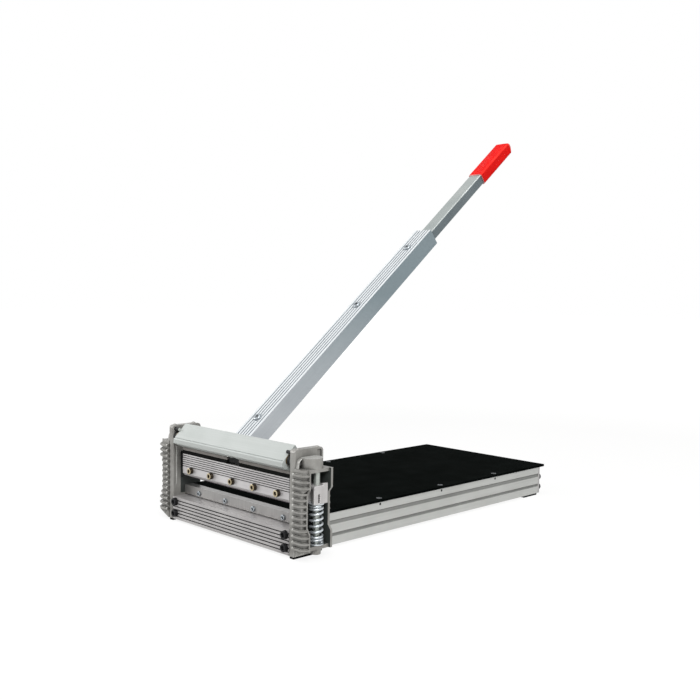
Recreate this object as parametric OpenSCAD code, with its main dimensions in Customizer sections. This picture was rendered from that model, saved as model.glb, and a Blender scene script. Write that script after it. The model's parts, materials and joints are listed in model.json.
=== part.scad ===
// Hand lever cutter for laminate planks, millimetres.
// X runs along the blade, Y from the posts back over the table, Z up. The lever leans back over the table,
// and pushing it down drives the blade past the anvil.

/* [Throat] */
// Width between the two posts
throat_w = 236; // [200:1:320]
// Height of the opening under the raised blade
throat_h = 12; // [9:0.5:16]

/* [Posts] */
// Thickness of a post's upright plate
post_t = 9.2; // [8:0.1:14]
// Depth of a post, front to back
post_depth = 45; // [44:0.5:60]
// Height of a post's ear above the lever pivot
ear_rise = 14.5; // [13:0.5:24]
// Radius of the ear's corners
ear_corner_r = 5; // [2:0.5:9]
// Radius of the upright plate's front edges
post_edge_r = 2.5; // [1:0.25:4]
// Width of the raised rim round the ear
ear_rim_w = 2.6; // [2:0.1:4]
// Depth of the panel inside the ear's rim
ear_panel_d = 1.4; // [0.6:0.1:2.5]

/* [Spring pocket] */
// Width of the spring housing outside the upright plate
housing_w = 21.8; // [21:0.1:28]
// Thickness of the housing's front wall, with its fins
front_wall_t = 9.5; // [8:0.1:12]
// Thickness of the housing's back wall
back_wall_t = 3; // [2.6:0.1:6]
// Thickness of the pocket's floor
floor_t = 4.5; // [3:0.1:7]
// Height of the pocket floor's top above the post's underside
floor_z = 14; // [13:0.5:20]
// Thickness of the pocket's roof
roof_t = 4; // [3:0.1:7]
// Room between the raised carriage's top and the pocket's roof
roof_room = 11.5; // [8:0.5:20]
// Distance from the back of the post to the back of the housing
housing_back_step = 4.5; // [2:0.25:5]
// Depth of the waist in the housing's outer face
waist_d = 4.8; // [0:0.2:6]
// Height of the waist's lower end
waist_z0 = 36; // [28:1:42]
// Height of the waist's upper end
waist_z1 = 81; // [70:1:90]
// Height over which the waist slopes in
waist_ramp = 6; // [3:0.5:10]
// Radius of the boss on the roof
boss_r = 13.25; // [11:0.25:14]
// Height of the boss on the roof
boss_h = 12.2; // [8:0.2:18]
// Distance of the boss's axis from the upright plate
boss_out = 6; // [5:0.2:9]
// Distance of the boss's axis in front of the rod's axis
boss_front = 3; // [0:0.25:4]

/* [Fins] */
// Distance that the fins stand in front of the post
fin_front = 3.5; // [2:0.1:3.9]
// Depth of the fins
fin_d = 3; // [1.5:0.1:4]
// Thickness of a fin at its foot
fin_t = 4.2; // [3.2:0.1:5]
// Depth of a fin's foot below its crest
fin_step = 1.3; // [0.6:0.1:1.5]
// Width of a fin's foot on each side of its crest
fin_shoulder = 1.1; // [0.6:0.1:1.3]
// Distance between fins
fin_pitch = 7.15; // [6:0.05:9]
// Width of the rim that closes the fins along the window
rim_w = 1.8; // [1:0.1:3]
// Radius of the fins' outer corner
fin_corner_r = 9; // [6:0.5:11]

/* [Base] */
// Length of the side rails
rail_l = 476; // [380:1:600]
// Width of a side rail
rail_w = 12.4; // [11.8:0.1:16]
// Height of a side rail
rail_h = 40; // [38:0.5:50]
// Wall thickness of a side rail
rail_wall = 2.5; // [2:0.1:3]
// Depth of the grooves along a side rail
rail_groove_d = 1.5; // [0.5:0.1:1.8]
// Distance of a side rail's upper groove below its top
groove_high_drop = 9.8; // [9:0.1:11]
// Width of a side rail's upper groove
groove_high_w = 5.2; // [4:0.1:6]
// Distance of a side rail's lower groove below its top
groove_low_drop = 25.6; // [24:0.1:27]
// Width of a side rail's lower groove
groove_low_w = 4.2; // [4:0.1:6]
// Depth of the front crossmember, front to back
cross_d = 31.4; // [30:0.2:32]
// Drop from the rails' top to the front crossmember's top
cross_step = 10; // [9:0.5:11]
// Distance of the crossmember's face behind the posts' front
cross_inset = 0.6; // [0.2:0.1:1.5]
// Wall thickness of the front crossmember
cross_wall = 4; // [3.5:0.1:5]
// Depth of the grooves in the crossmember's face
cross_groove_d = 1.7; // [0.5:0.1:1.8]
// Number of grooves in the crossmember's face
cross_grooves = 6; // [4:1:7]
// Width of the grooves in the crossmember's face
cross_groove_w = 1.5; // [1:0.1:2]
// Thickness of the rear crossmember
rear_t = 4; // [3:0.2:8]
// Height of the lower row of frame bolts
bolt_row_low = 8.4; // [8.2:0.1:9]
// Distance of the upper row of frame bolts below the crossmember's top
bolt_row_drop = 6.2; // [6:0.1:7]
// Height of a foot pad
pad_h = 3; // [2:0.5:8]
// Length of a rear foot pad
rear_pad_l = 34; // [20:1:60]
// Margin of a foot pad inside the edge above it
pad_margin = 1; // [0.4:0.1:1.5]

/* [Deck] */
// Thickness of the deck panel
deck_t = 3.4; // [3:0.1:6]
// Overhang of the deck beyond the rails at the sides
deck_side = 1.4; // [0.5:0.1:6]
// Overhang of the deck beyond the rear crossmember
deck_rear = 9.6; // [6:0.2:20]
// Gap between the posts' back and the deck's wide part
deck_post_gap = 0.6; // [0.4:0.1:2]
// Distance from the posts' front to the first deck screw
deck_screw_y0 = 158.6; // [120:1:180]
// Distance between deck screws
deck_screw_pitch = 121.7; // [80:1:140]
// Number of deck screws on each side
deck_screw_n = 3; // [2:1:3]
// Distance of the rail side screws in front of the deck screws
side_screw_step = 4.2; // [3.9:0.1:12]
// Depth of the side screws below the rail's top
side_screw_drop = 2.8; // [2.2:0.1:3.5]

/* [Anvil] */
// Thickness of the lower blade
low_blade_t = 3; // [2:0.1:3.5]
// Height of the lower blade
low_blade_h = 12; // [11:0.2:13]
// Thickness of the anvil bar, front to back
anvil_d = 9; // [8.4:0.1:9.4]
// Depth below the deck of the screws from the posts into the anvil bar
anvil_screw_drop = 6.7; // [6.2:0.1:7]
// Length of those screws in the anvil bar
anvil_screw_bite = 11.4; // [8:0.2:14]
// Distance between lower blade screws
low_screw_pitch = 57; // [40:1:60]
// Number of lower blade screws
low_screw_n = 4; // [2:1:4]
// Depth of the lower blade screws below the deck
low_screw_drop = 7.4; // [7:0.1:7.8]

/* [Blade carriage] */
// Thickness of the blade
blade_t = 3; // [2:0.1:3.4]
// Height of the blade
blade_h = 19; // [17.5:0.1:19.3]
// Height of the blade's bevel
bevel_h = 5; // [2:0.2:6]
// Flat left at the blade's cutting edge
edge_flat = 0.3; // [0.1:0.05:0.6]
// Length of the blade that shows below the carrier
blade_show = 3.5; // [2:0.1:5]
// Height of the carrier
carrier_h = 29.1; // [29:0.1:34]
// Thickness of the carrier's front web
web_t = 7.2; // [6:0.1:8]
// Height of the carrier's top flange
flange_h = 13; // [12.5:0.1:14]
// Depth of the carrier's top flange, front to back
flange_d = 24.5; // [24:0.1:26]
// Gap between the carrier's end and the post
carrier_end_gap = 10; // [9:0.2:14]
// Height of the slope under the carrier's front
chin_h = 3.2; // [1:0.1:4]
// Number of grooves in the carrier's face
carrier_grooves = 6; // [4:1:6]
// Distance between the grooves in the carrier's face
carrier_groove_pitch = 2.8; // [2.5:0.1:3]
// Distance of the first groove below the carrier's top
carrier_groove_drop = 2.2; // [1.8:0.1:2.6]
// Depth of the grooves in the carrier's face
carrier_groove_d = 1.5; // [0.5:0.1:2]
// Width of the grooves in the carrier's face
carrier_groove_w = 1.1; // [0.8:0.1:1.6]
// Thickness of the guard strips on the carrier's front edge
guard_t = 2.2; // [1:0.1:3]
// Height of the guard strips
guard_h = 8.6; // [4:0.1:9]
// Distance of the guard strips behind the carrier's face
guard_in = 0.2; // [0:0.1:0.6]
// Gap between a guard strip and the cam block
guard_gap = 1; // [0.6:0.1:4]
// Depth of the guard strips' returns beside the cam block
guard_return = 14; // [8:0.5:18]
// Height of the blade bolts above the carrier's lower edge
blade_bolt_up = 8.6; // [7.8:0.1:9]
// Distance between blade bolts
blade_bolt_pitch = 44; // [30:1:46]
// Number of blade bolts
blade_bolt_n = 5; // [3:2:5]

/* [Yokes] */
// Width of a yoke's arm
arm_w = 12; // [8:0.5:13]
// Height of a yoke's arm
arm_h = 6; // [4:0.25:7]
// Length of a yoke's arm inside the carrier
arm_in = 18; // [12:0.5:30]
// Distance of the arms below the middle of the carrier's flange
arm_drop = 0.5; // [0:0.1:1]
// Thickness of a yoke's bent plate
yoke_t = 3; // [2:0.1:3.4]
// Width of a yoke's flanges, front to back
yoke_w = 21; // [16:0.5:22]
// Width of a yoke, inner flange to outer flange
yoke_span = 16; // [15.4:0.1:17]
// Height of the tab on a yoke's outer flange
yoke_tab = 2; // [1:0.25:4]
// Width of the slot in a yoke's outer flange
yoke_slot_w = 3; // [1.5:0.25:5]
// Length of the slot in a yoke's outer flange
yoke_slot_l = 10; // [6:0.5:12]
// Height of the slot above the foot of a yoke's flange
yoke_slot_up = 1.5; // [1:0.1:3]
// Length of a guide shoe, up and down
shoe_h = 18.4; // [14:0.2:18.6]
// Width of a guide shoe, front to back
shoe_w = 22; // [17:0.5:22.6]
// Depth of a guide shoe's channel in the post
channel_d = 3; // [2:0.1:4]

/* [Springs] */
// Distance of a guide rod's axis from the upright plate
rod_out = 11.8; // [11.4:0.1:12.2]
// Distance of a guide rod's axis behind the post's front
rod_y = 24; // [23.5:0.1:24.5]
// Diameter of a guide rod
rod_d = 8; // [6:0.1:9]
// Diameter of a guide rod's head
rod_head_d = 11.6; // [10.5:0.1:14]
// Height of a guide rod's head
rod_head_h = 7; // [4:0.2:9]
// Length of a guide rod inside the boss
rod_in_boss = 4; // [3:0.2:7]
// Outside diameter of a spring
spring_d = 17.3; // [15.5:0.1:17.8]
// Diameter of the spring's wire
wire_d = 2.7; // [2:0.05:3]
// Closed turns at the spring's foot
turns_low = 2; // [1:0.25:2.5]
// Open turns of the spring
turns_open = 4.5; // [4:0.25:6]
// Closed turns at the spring's top
turns_high = 1.5; // [1:0.25:2.5]
// Gap between closed turns
coil_gap = 0.5; // [0.45:0.05:0.8]
// Thickness of a spring's washers
washer_t = 1.3; // [1:0.1:2]
// Width of a spring's washers outside the spring
washer_rim = 0.5; // [0.2:0.1:0.6]
// Height of an upper spring washer's underside at rest
spring_top_z = 61.3; // [58:0.1:62]

/* [Lever beam] */
// Angle of the raised lever above the table
lever_angle = 39; // [34:0.5:44]
// Turn of the lever from raised to lowered
lever_swing = 37; // [30:0.5:38]
// Height of the pivot above the raised carriage's top
pivot_rise = 22.5; // [22:0.1:24]
// Distance of the pivot behind the posts' front
pivot_y = 7.5; // [7:0.1:8]
// Diameter of a pivot pin
pivot_d = 8; // [7:0.1:8.4]
// Length of a pivot pin outside the ear
pivot_proud = 0.5; // [0.2:0.1:0.8]
// Wall thickness of a pivot bush
bush_t = 1.2; // [0.8:0.05:1.3]
// Length of a pivot bush in the beam
bush_l = 16; // [10:0.5:30]
// Gap between the beam's end and the post
beam_end_gap = 7.5; // [5:0.1:12]
// Thickness of a pivot bush's collar
collar_t = 1.5; // [1:0.1:2.5]
// Width of a pivot bush's collar outside the bush
collar_w = 1.5; // [1:0.1:2]
// Width of the beam's flat face
beam_face_w = 27.2; // [26:0.2:32]
// Slope of the beam's face from the lever, degrees
beam_face_slope = 5.4; // [4:0.2:7]
// Distance from the pivot down to the face's lower edge
beam_face_low = 10.2; // [9:0.2:12]
// Distance from the pivot out to the face's lower edge
beam_face_out = 5.7; // [5.6:0.1:7]
// Width of the lip under the face's lower edge
lip_w = 5.2; // [3:0.1:6]
// Angle of the lip from the lever, degrees
lip_angle = 51; // [40:1:60]
// Depth of the beam below the pivot at its front
beam_belly = 10.4; // [10:0.1:11.5]
// Depth of the beam below the pivot at its back
beam_back = 18; // [16:0.2:19]
// Distance from the pivot to the beam's back
beam_back_u = 12.5; // [12:0.1:14]
// Diameter of a stop pin
stop_d = 4.4; // [3:0.1:5]
// Distance of the stop pins above the pivot, along the lever
stop_u = 4; // [2:0.25:5]
// Length of a stop pin in the post
stop_in = 4; // [3:0.25:6]
// Length of a stop pin over the beam's end
stop_over = 1.5; // [1:0.1:4]

/* [Cam] */
// Travel of the blade for one radian of the lever
cam_rate = 21; // [19:0.25:22]
// Width of the cam block
cam_w = 22.4; // [22:0.2:26]
// Depth of the cam's front foot below the pivot
cam_foot = 20.3; // [19:0.1:21]
// Turn of the cam beyond the lever's swing
cam_spare = 1.5; // [0.5:0.25:3]
// Steps along the cam's working curve
cam_steps = 12; // [8:1:24]
// Distance of the first cam screw behind the pivot
cam_screw_y = 7; // [6.5:0.1:8]
// Distance between the cam screws
cam_screw_pitch = 8; // [7.6:0.1:9]

/* [Handle] */
// Width of the lower handle
handle_w = 30; // [29:0.25:36]
// Depth of the lower handle
handle_d = 24.5; // [24:0.25:28]
// Distance from the pivot to the top of the lower handle
handle_end = 458; // [420:1:520]
// Number of ridges on the handle's face
handle_ridges = 6; // [4:1:7]
// Depth of the grooves between the ridges
handle_groove_d = 1.3; // [0.5:0.1:1.6]
// Share of the ridge pitch that a groove takes
handle_groove_share = 0.42; // [0.3:0.02:0.5]
// Width of the handle tube
tube_w = 22; // [21:0.1:23]
// Depth of the handle tube
tube_d = 15; // [14.6:0.1:16]
// Wall thickness of the handle tube
tube_wall = 1.6; // [1:0.1:2.5]
// Radius of the handle tube's corners
tube_r = 2; // [1:0.1:3]
// Distance of the handle tube's axis below the middle of the lower handle
tube_drop = 0.6; // [0:0.1:1]
// Length of the handle tube below the second handle bolt
tube_foot = 18.5; // [10:0.5:60]
// Distance from the pivot to the tip of the grip
grip_end = 707; // [660:1:760]
// Length of the grip
grip_l = 96; // [80:1:130]
// Thickness of the grip round the tube
grip_t = 1.7; // [1:0.1:3]
// Length of the taper at the grip's end
grip_taper = 8; // [4:0.5:12]
// Distance from the pivot to the first handle bolt
bolt_a = 53.6; // [45:0.2:60]
// Distance from the pivot to the second handle bolt
bolt_b = 280.5; // [275:0.5:330]
// Distance from the pivot to the third handle bolt
bolt_c = 414; // [380:0.5:440]
// Distance from the pivot to the end of the handle root
root_end = 80; // [70:1:150]
// Distance of the root bolts from the middle
root_bolt_x = 6.6; // [6.5:0.05:7]
// Depth of the root bolts below the pivot
root_bolt_n = 9.2; // [9:0.05:9.6]

/* [Fasteners] */
// Diameter of the frame bolts, post screws and handle bolts
m6_d = 6; // [5:0.1:6.4]
// Diameter of the blade bolts, yoke screws and root bolts
m5_d = 5; // [4:0.1:5.2]
// Diameter of the deck, lower blade and cam screws
m4_d = 4; // [3:0.1:4.1]
// Diameter of the rail side screws
side_screw_d = 3.2; // [2:0.1:3.6]
// Distance from the posts' back to the screws from the rails into the posts
rail_screw_back = 5.5; // [5:0.1:6.5]
// Depth below the rails' top of the upper of those screws
rail_screw_drop = 6.5; // [6:0.1:7.5]
// Length of those screws in the posts
rail_screw_bite = 7; // [5:0.1:8]

/* [Clearances] */
// Gap between faces that are bolted together
seat = 0.05; // [0.02:0.01:0.15]
// Radial clearance of fasteners in their holes
hole_fit = 0.05; // [0.02:0.01:0.12]
// Radial clearance of the pivot pins in their bushes
running_fit = 0.05; // [0.02:0.01:0.09]
// Gap between sliding faces
slide_gap = 0.3; // [0.2:0.05:0.5]
// Gap between the blade and the lower blade
shear_gap = 0.3; // [0.2:0.05:0.5]
// Gap between the cam and the carrier
cam_gap = 0.3; // [0.2:0.05:0.5]
// Room round a screw head or a washer in its recess
head_room = 0.4; // [0.2:0.05:0.6]

/* [Hidden] */
$fn = 64;

// Overlap that lets cuts run clear through a face
cut = 1;
// Length that is longer than the whole tool
far = 2000;

// Heads of the fasteners, from their shanks
m6_head_d = m6_d + 4;
m6_head_h = 6;
m5_head_d = m5_d + 3.5;
m5_head_h = m5_d;
m4_head_d = m4_d * 1.75;
m4_head_h = m4_d;
button_h = 2;
sink_share = 1.9;
sink_d = m6_d * sink_share;
deck_sink_d = m4_d * sink_share;
socket_share = 0.5;
socket_depth = 1.8;
side_socket_depth = 1;
frame_bolt_bite = 25;
deck_screw_bite = 3;
low_screw_bite = 7.5;
side_screw_l = 3.4;
blade_bolt_short = 0.2;
root_bolt_l = 30;
root_hole_spare = 1;
handle_bolt_end = 3;
yoke_screw_floor = 1;
yoke_screw_sunk = 0.4;
// Least width left of an outline that a large corner would use up
sliver = 0.01;
wire_sides = 6;
wire_rings = 8;

// Posts and base, across
post_in = throat_w / 2;
post_out = post_in + post_t;
housing_out = post_out + housing_w;
rail_out = post_in - seat;
rail_in = rail_out - rail_w;
cross_h = rail_h - cross_step;
bolt_row_high = cross_h - bolt_row_drop;
port_x = (rail_out + rail_in) / 2;
port_r = m6_d / 2 + hole_fit + 2;

// Base, front to back
cross_back = cross_inset + cross_d;
rail_y0 = cross_back + seat;
rail_y1 = rail_y0 + rail_l;
rear_y0 = rail_y1 + seat;
rear_y1 = rear_y0 + rear_t;
anvil_back = cross_back;
anvil_front = anvil_back - anvil_d;
low_blade_back = anvil_front - seat;
low_blade_front = low_blade_back - low_blade_t;
deck_y0 = anvil_back + seat;
deck_y1 = rear_y1 + deck_rear;
bolt_seat_y = cross_inset + cross_groove_d;
deck_wide_y = post_depth + deck_post_gap;
deck_top = rail_h + deck_t;
deck_half = rail_out + deck_side;
deck_neck = post_in - slide_gap;
deck_screw_l = deck_t + rail_wall + deck_screw_bite;
deck_screw_ys = [for (i = [0 : deck_screw_n - 1]) deck_screw_y0 + i * deck_screw_pitch];
low_screw_xs = [for (i = [0 : low_screw_n - 1]) (i - (low_screw_n - 1) / 2) * low_screw_pitch];
low_screw_z = deck_top - low_screw_drop;
low_screw_l = low_blade_t + low_screw_bite;

// Carriage at rest
stroke = cam_rate * lever_swing * PI / 180;
blade_edge_z = deck_top + throat_h;
blade_y1 = low_blade_front - shear_gap;
blade_y0 = blade_y1 - blade_t;
web_y1 = blade_y0 - seat;
web_y0 = web_y1 - web_t;
carrier_z0 = blade_edge_z + blade_show;
carrier_z1 = carrier_z0 + carrier_h;
flange_z0 = carrier_z1 - flange_h;
carrier_half = post_in - carrier_end_gap;
groove_top = carrier_z1 - carrier_groove_drop;
chin_back = 3;
blade_bolt_z = carrier_z0 + blade_bolt_up;
blade_bolt_l = blade_y1 - web_y0 - blade_bolt_short;
blade_bolt_xs = [for (i = [0 : blade_bolt_n - 1]) (i - (blade_bolt_n - 1) / 2) * blade_bolt_pitch];
arm_y = rod_y;
arm_z = carrier_z1 - flange_h / 2 - arm_drop;
arm_top = arm_z + arm_h / 2;
arm_low = arm_z - arm_h / 2;
arm_x0 = carrier_half - arm_in;
rod_x = post_out + rod_out;
yoke_x0 = rod_x - yoke_span / 2;
yoke_x1 = rod_x + yoke_span / 2;
yoke_foot = spring_top_z + washer_t + seat;
yoke_screw_x = carrier_half - arm_in / 2;
shoe_x0 = carrier_half + seat;
shoe_x1 = post_in + channel_d - slide_gap;
shoe_y0 = rod_y - shoe_w / 2;
shoe_top = carrier_z1;
shoe_low = shoe_top - shoe_h;

// Posts, up and down
pivot_z = carrier_z1 + pivot_rise;
post_h = pivot_z + ear_rise;
roof_z = carrier_z1 + roof_room;
housing_top = roof_z + roof_t;
housing_low = floor_z - floor_t;
housing_back = post_depth - housing_back_step;
pocket_y0 = front_wall_t - fin_front;
pocket_y1 = housing_back - back_wall_t;
boss_x = post_out + boss_out;
boss_y = rod_y - boss_front;
// Outer face of the housing at a height, drawn in at the waist
function out_at(z) = housing_out
    - waist_d * max(0, min(1, (z - waist_z0 + waist_ramp) / waist_ramp, (waist_z1 - z) / waist_ramp));
fin_n = floor((housing_top - fin_t - housing_low) / fin_pitch) + 1;
washer_r = spring_d / 2 + washer_rim;
rod_hole_r = rod_d / 2 + slide_gap;
rod_top = housing_top + rod_in_boss;
channel_spare = 2;
panel_margin = 1;

// Screws that hold a post: one through it into the anvil bar, two out of the rail into it
anvil_screw_y = anvil_front + anvil_d / 2;
anvil_screw_z = deck_top - anvil_screw_drop;
anvil_screw_l = post_t + anvil_screw_bite;
rail_screw_y = post_depth - rail_screw_back;
rail_screw_zs = [rail_h - rail_screw_drop, (bolt_row_low + bolt_row_high) / 2];
rail_screw_x0 = rail_in - seat;
rail_screw_x1 = post_in + rail_screw_bite;

// Spring, from its seat to its washer
spring_z0 = floor_z + seat + washer_t + slide_gap;
spring_z1 = spring_top_z - slide_gap;
coil_r = (spring_d - wire_d) / 2;
coil_run = spring_z1 - spring_z0 - wire_d;
closed_pitch = wire_d + coil_gap;
open_pitch = (coil_run - (turns_low + turns_high) * closed_pitch) / turns_open;
coil_turns = turns_low + turns_open + turns_high;
coil_steps = ceil(coil_turns * wire_rings);

// Lever, in its own frame: u along the handle from the pivot, n out of its ridged face
pin_r = pivot_d / 2;
bush_r = pin_r + running_fit + bush_t;
collar_r = bush_r + collar_w;
beam_half = post_in - beam_end_gap;
spacer_x0 = beam_half + collar_t + slide_gap;
handle_start = beam_back_u + slide_gap;
handle_top_n = 0.35;
handle_low_n = handle_top_n - handle_d;
tube_n = handle_top_n - handle_d / 2 - tube_drop;
tube_start = bolt_b - tube_foot;
ridge_pitch = handle_w / handle_ridges;
grip_tip_t = 4;
grip_tip_l = 0.5;
tube_end = grip_end - grip_taper - seat;
face_u0 = -beam_face_low;
face_n0 = beam_face_out;
face_u1 = face_u0 + beam_face_w * cos(beam_face_slope);
face_n1 = face_n0 + beam_face_w * sin(beam_face_slope);
lip_u = face_u0 - lip_w * cos(lip_angle);
lip_n = face_n0 - lip_w * sin(lip_angle);
lip_line = 1.2;
belly_u = -7.8;
beam_outline = [[face_u0, face_n0], [lip_u, lip_n], [belly_u, -beam_belly], [beam_back_u, -beam_back],
    [beam_back_u, handle_top_n + slide_gap], [face_u1, handle_top_n + slide_gap], [face_u1, face_n1]];
stop_n = face_n0 + (stop_u - face_u0) * tan(beam_face_slope) + slide_gap + stop_d / 2;
root_seat_u = 5.5;
root_head_room = 0.25;
bolt_spots = [bolt_a, bolt_b, bolt_c];
spot_below = 0.3;
spot_n = handle_top_n - handle_groove_d - spot_below;
handle_washer_d = 13;
handle_washer_t = 1.2;
handle_head_d = 11;
handle_head_h = 3.2;
nut_h = 5;
nut_d = 11.5;

// Ends of the tool, front and back, for an origin in the middle of its footprint
function turned(p) = [p[0] * cos(lever_angle) - p[1] * sin(lever_angle),
    p[0] * sin(lever_angle) + p[1] * cos(lever_angle)];
grip_low_n = tube_n - tube_d / 2 - seat - grip_t;
tip_a = turned([grip_end - grip_taper, grip_low_n])[0];
tip_b = turned([grip_end, grip_low_n + grip_tip_t])[0];
lip_front = min(turned([lip_u, lip_n])[0], turned([face_u0, face_n0])[0]);
front_y = min(-fin_front, pivot_y + lip_front);
back_y = max(deck_y1, pivot_y + max(tip_a, tip_b));
middle_y = (front_y + back_y) / 2;

// Cam curve round the pivot at rest: the carrier's top stays flat, and drops cam_rate for each radian
function cam_depth(a) = pivot_rise - cam_gap - cam_rate * a * PI / 180;
function cam_point(a) = [cam_rate * cos(a) - cam_depth(a) * sin(a),
    -cam_rate * sin(a) - cam_depth(a) * cos(a)];
cam_curve = [for (i = [0 : cam_steps]) cam_point(-(lever_swing + cam_spare) * i / cam_steps)];
cam_under_n = handle_low_n - seat;
belly_slope = (beam_belly - beam_back) / (beam_back_u - belly_u);
function belly_n(u) = -beam_belly + (u - belly_u) * belly_slope - seat;
cam_front_u = -5;
cam_front = turned([cam_front_u, belly_n(cam_front_u)]);
cam_tail_u = (cam_curve[cam_steps][0] + cam_under_n * sin(lever_angle)) / cos(lever_angle);
cam_tail = turned([cam_tail_u, cam_under_n]);
cam_nose = 1;
cam_outline = concat([cam_front, [cam_front[0] + cam_nose, -cam_foot]], cam_curve,
    [cam_tail, turned([beam_back_u, cam_under_n]), turned([beam_back_u, belly_n(beam_back_u)])]);
cam_screw_ys = [cam_screw_y, cam_screw_y + cam_screw_pitch];
cam_screw_top = -1.8;
cam_screw_head_z = -15.6;
cam_head_room = 0.2;

// Coil of a spring: a helix with closed turns at both ends, and straight wire ends
function coil_rise(t) = min(t, turns_low) * closed_pitch
    + max(0, min(t - turns_low, turns_open)) * open_pitch
    + max(0, t - turns_low - turns_open) * closed_pitch;
function coil_turn(i) = coil_turns * i / coil_steps;
function coil_at(i) = [coil_r * cos(360 * coil_turn(i)), coil_r * sin(360 * coil_turn(i)),
    spring_z0 + wire_d / 2 + coil_rise(coil_turn(i))];
function coil_way(i) = [-sin(360 * coil_turn(i)), cos(360 * coil_turn(i)), 0];
coil_points = concat([coil_at(0) - wire_d * coil_way(0)], [for (i = [0 : coil_steps]) coil_at(i)],
    [coil_at(coil_steps) + wire_d * coil_way(coil_steps)]);
coil_count = len(coil_points);
function coil_out(k) = let (i = min(max(k - 1, 0), coil_steps))
    [cos(360 * coil_turn(i)), sin(360 * coil_turn(i)), 0];
function unit(v) = v / norm(v);
function coil_along(k) = unit(coil_points[min(k + 1, coil_count - 1)] - coil_points[max(k - 1, 0)]);
function wire_ring(k) = let (o = unit(coil_out(k) - (coil_out(k) * coil_along(k)) * coil_along(k)),
    b = cross(coil_along(k), o))
    [for (s = [0 : wire_sides - 1]) coil_points[k]
        + wire_d / 2 * (cos(360 * s / wire_sides) * o + sin(360 * s / wire_sides) * b)];
wire_points = [for (k = [0 : coil_count - 1]) each wire_ring(k)];
function wire_id(k, s) = k * wire_sides + s % wire_sides;
wire_faces = concat(
    [for (k = [0 : coil_count - 2], s = [0 : wire_sides - 1])
        [wire_id(k, s), wire_id(k + 1, s), wire_id(k, s + 1)]],
    [for (k = [0 : coil_count - 2], s = [0 : wire_sides - 1])
        [wire_id(k, s + 1), wire_id(k + 1, s), wire_id(k + 1, s + 1)]],
    [for (s = [1 : wire_sides - 2]) [wire_id(0, 0), wire_id(0, s), wire_id(0, s + 1)]],
    [for (s = [1 : wire_sides - 2])
        [wire_id(coil_count - 1, 0), wire_id(coil_count - 1, s + 1), wire_id(coil_count - 1, s)]]);
coil_self_gap = min([for (i = [0 : coil_count - 1], j = [i + wire_rings / 2 : 1 : coil_count - 1])
    norm(coil_points[i] - coil_points[j])]) - wire_d;
echo("least gap between spring turns, mm", coil_self_gap);

// Places a piece whose sizes count from the posts' front and underside
module placed() {
    translate([0, -middle_y, pad_h]) children();
}

module at_pivot() {
    placed() translate([0, pivot_y, pivot_z]) children();
}

module at_lever() {
    at_pivot() rotate([lever_angle, 0, 0]) children();
}

module both_sides() {
    children();
    mirror([1, 0, 0]) children();
}

// Sweeps an outline in Y and Z along X
module along_x(x0, x1) {
    translate([x0, 0, 0]) rotate([90, 0, 90]) linear_extrude(x1 - x0) children();
}

// Sweeps an outline in X and Z along Y
module along_y(y0, y1) {
    translate([0, y1, 0]) rotate([90, 0, 0]) linear_extrude(y1 - y0) children();
}

module along_z(z0, z1) {
    translate([0, 0, z0]) linear_extrude(z1 - z0) children();
}

module bar(x0, x1, y0, y1, z0, z1) {
    translate([x0, y0, z0]) cube([x1 - x0, y1 - y0, z1 - z0]);
}

module rod_along_x(x0, x1, r) {
    translate([x0, 0, 0]) rotate([0, 90, 0]) cylinder(h = x1 - x0, r = r);
}

module rod_along_y(y0, y1, r) {
    translate([0, y0, 0]) rotate([-90, 0, 0]) cylinder(h = y1 - y0, r = r);
}

module round_box(w, d, r) {
    square([w - 2 * r, d], center = true);
    square([w, d - 2 * r], center = true);
    for (x = [-1, 1], y = [-1, 1]) translate([x * (w / 2 - r), y * (d / 2 - r)]) circle(r);
}

// Socket screw along +Z from its seat at zero, with its head below
module socket_screw(d, shank_l, head_d, head_h) {
    difference() {
        union() {
            cylinder(h = shank_l, d = d);
            translate([0, 0, -head_h]) cylinder(h = head_h, d = head_d);
        }
        translate([0, 0, -head_h - cut]) cylinder(h = cut + socket_depth, d = head_d * socket_share, $fn = 6);
    }
}

// Countersunk screw along +Z with its flat head at zero
module sunk_screw(d, shank_l, head_d) {
    difference() {
        union() {
            cylinder(h = (head_d - d) / 2, d1 = head_d, d2 = d);
            cylinder(h = shank_l, d = d);
        }
        translate([0, 0, -cut]) cylinder(h = cut + socket_depth, d = d * socket_share, $fn = 6);
    }
}

// Room for a countersunk screw along +Z
module sunk_hole(d, shank_l, head_d) {
    cylinder(h = (head_d - d) / 2 + hole_fit, d1 = head_d + 2 * hole_fit, d2 = d);
    translate([0, 0, -cut]) cylinder(h = cut, d = head_d + 2 * hole_fit);
    cylinder(h = shank_l + hole_fit, r = d / 2 + hole_fit);
}

// Outline of the spring housing's front out to a face, pulled in by an inset
module fin_plan(inset, out) {
    x1 = out - inset;
    y0 = -fin_front + inset;
    r = fin_corner_r - inset;
    translate([post_out - cut, y0]) square([x1 - r - post_out + cut, pocket_y0 - y0]);
    translate([post_out - cut, y0 + r]) square([x1 - post_out + cut, max(pocket_y0 - y0 - r, sliver)]);
    intersection() {
        translate([x1 - r, y0 + r]) circle(r);
        translate([x1 - r - r, y0]) square([r + r, pocket_y0 - y0]);
    }
}

module upright_plan() {
    translate([post_in, post_edge_r]) square([post_t, post_depth - post_edge_r]);
    translate([post_in + post_edge_r, 0]) square([post_t - 2 * post_edge_r, post_depth]);
    for (x = [post_in + post_edge_r, post_out - post_edge_r]) translate([x, post_edge_r]) circle(post_edge_r);
}

module upright_side(inset) {
    r = ear_corner_r - min(inset, ear_corner_r - 1);
    y1 = post_depth - inset;
    z1 = post_h - inset;
    translate([inset, 0]) square([y1 - inset, z1 - r]);
    translate([inset + r, 0]) square([y1 - inset - 2 * r, z1]);
    for (y = [inset + r, y1 - r]) translate([y, z1 - r]) circle(r);
}

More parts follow.
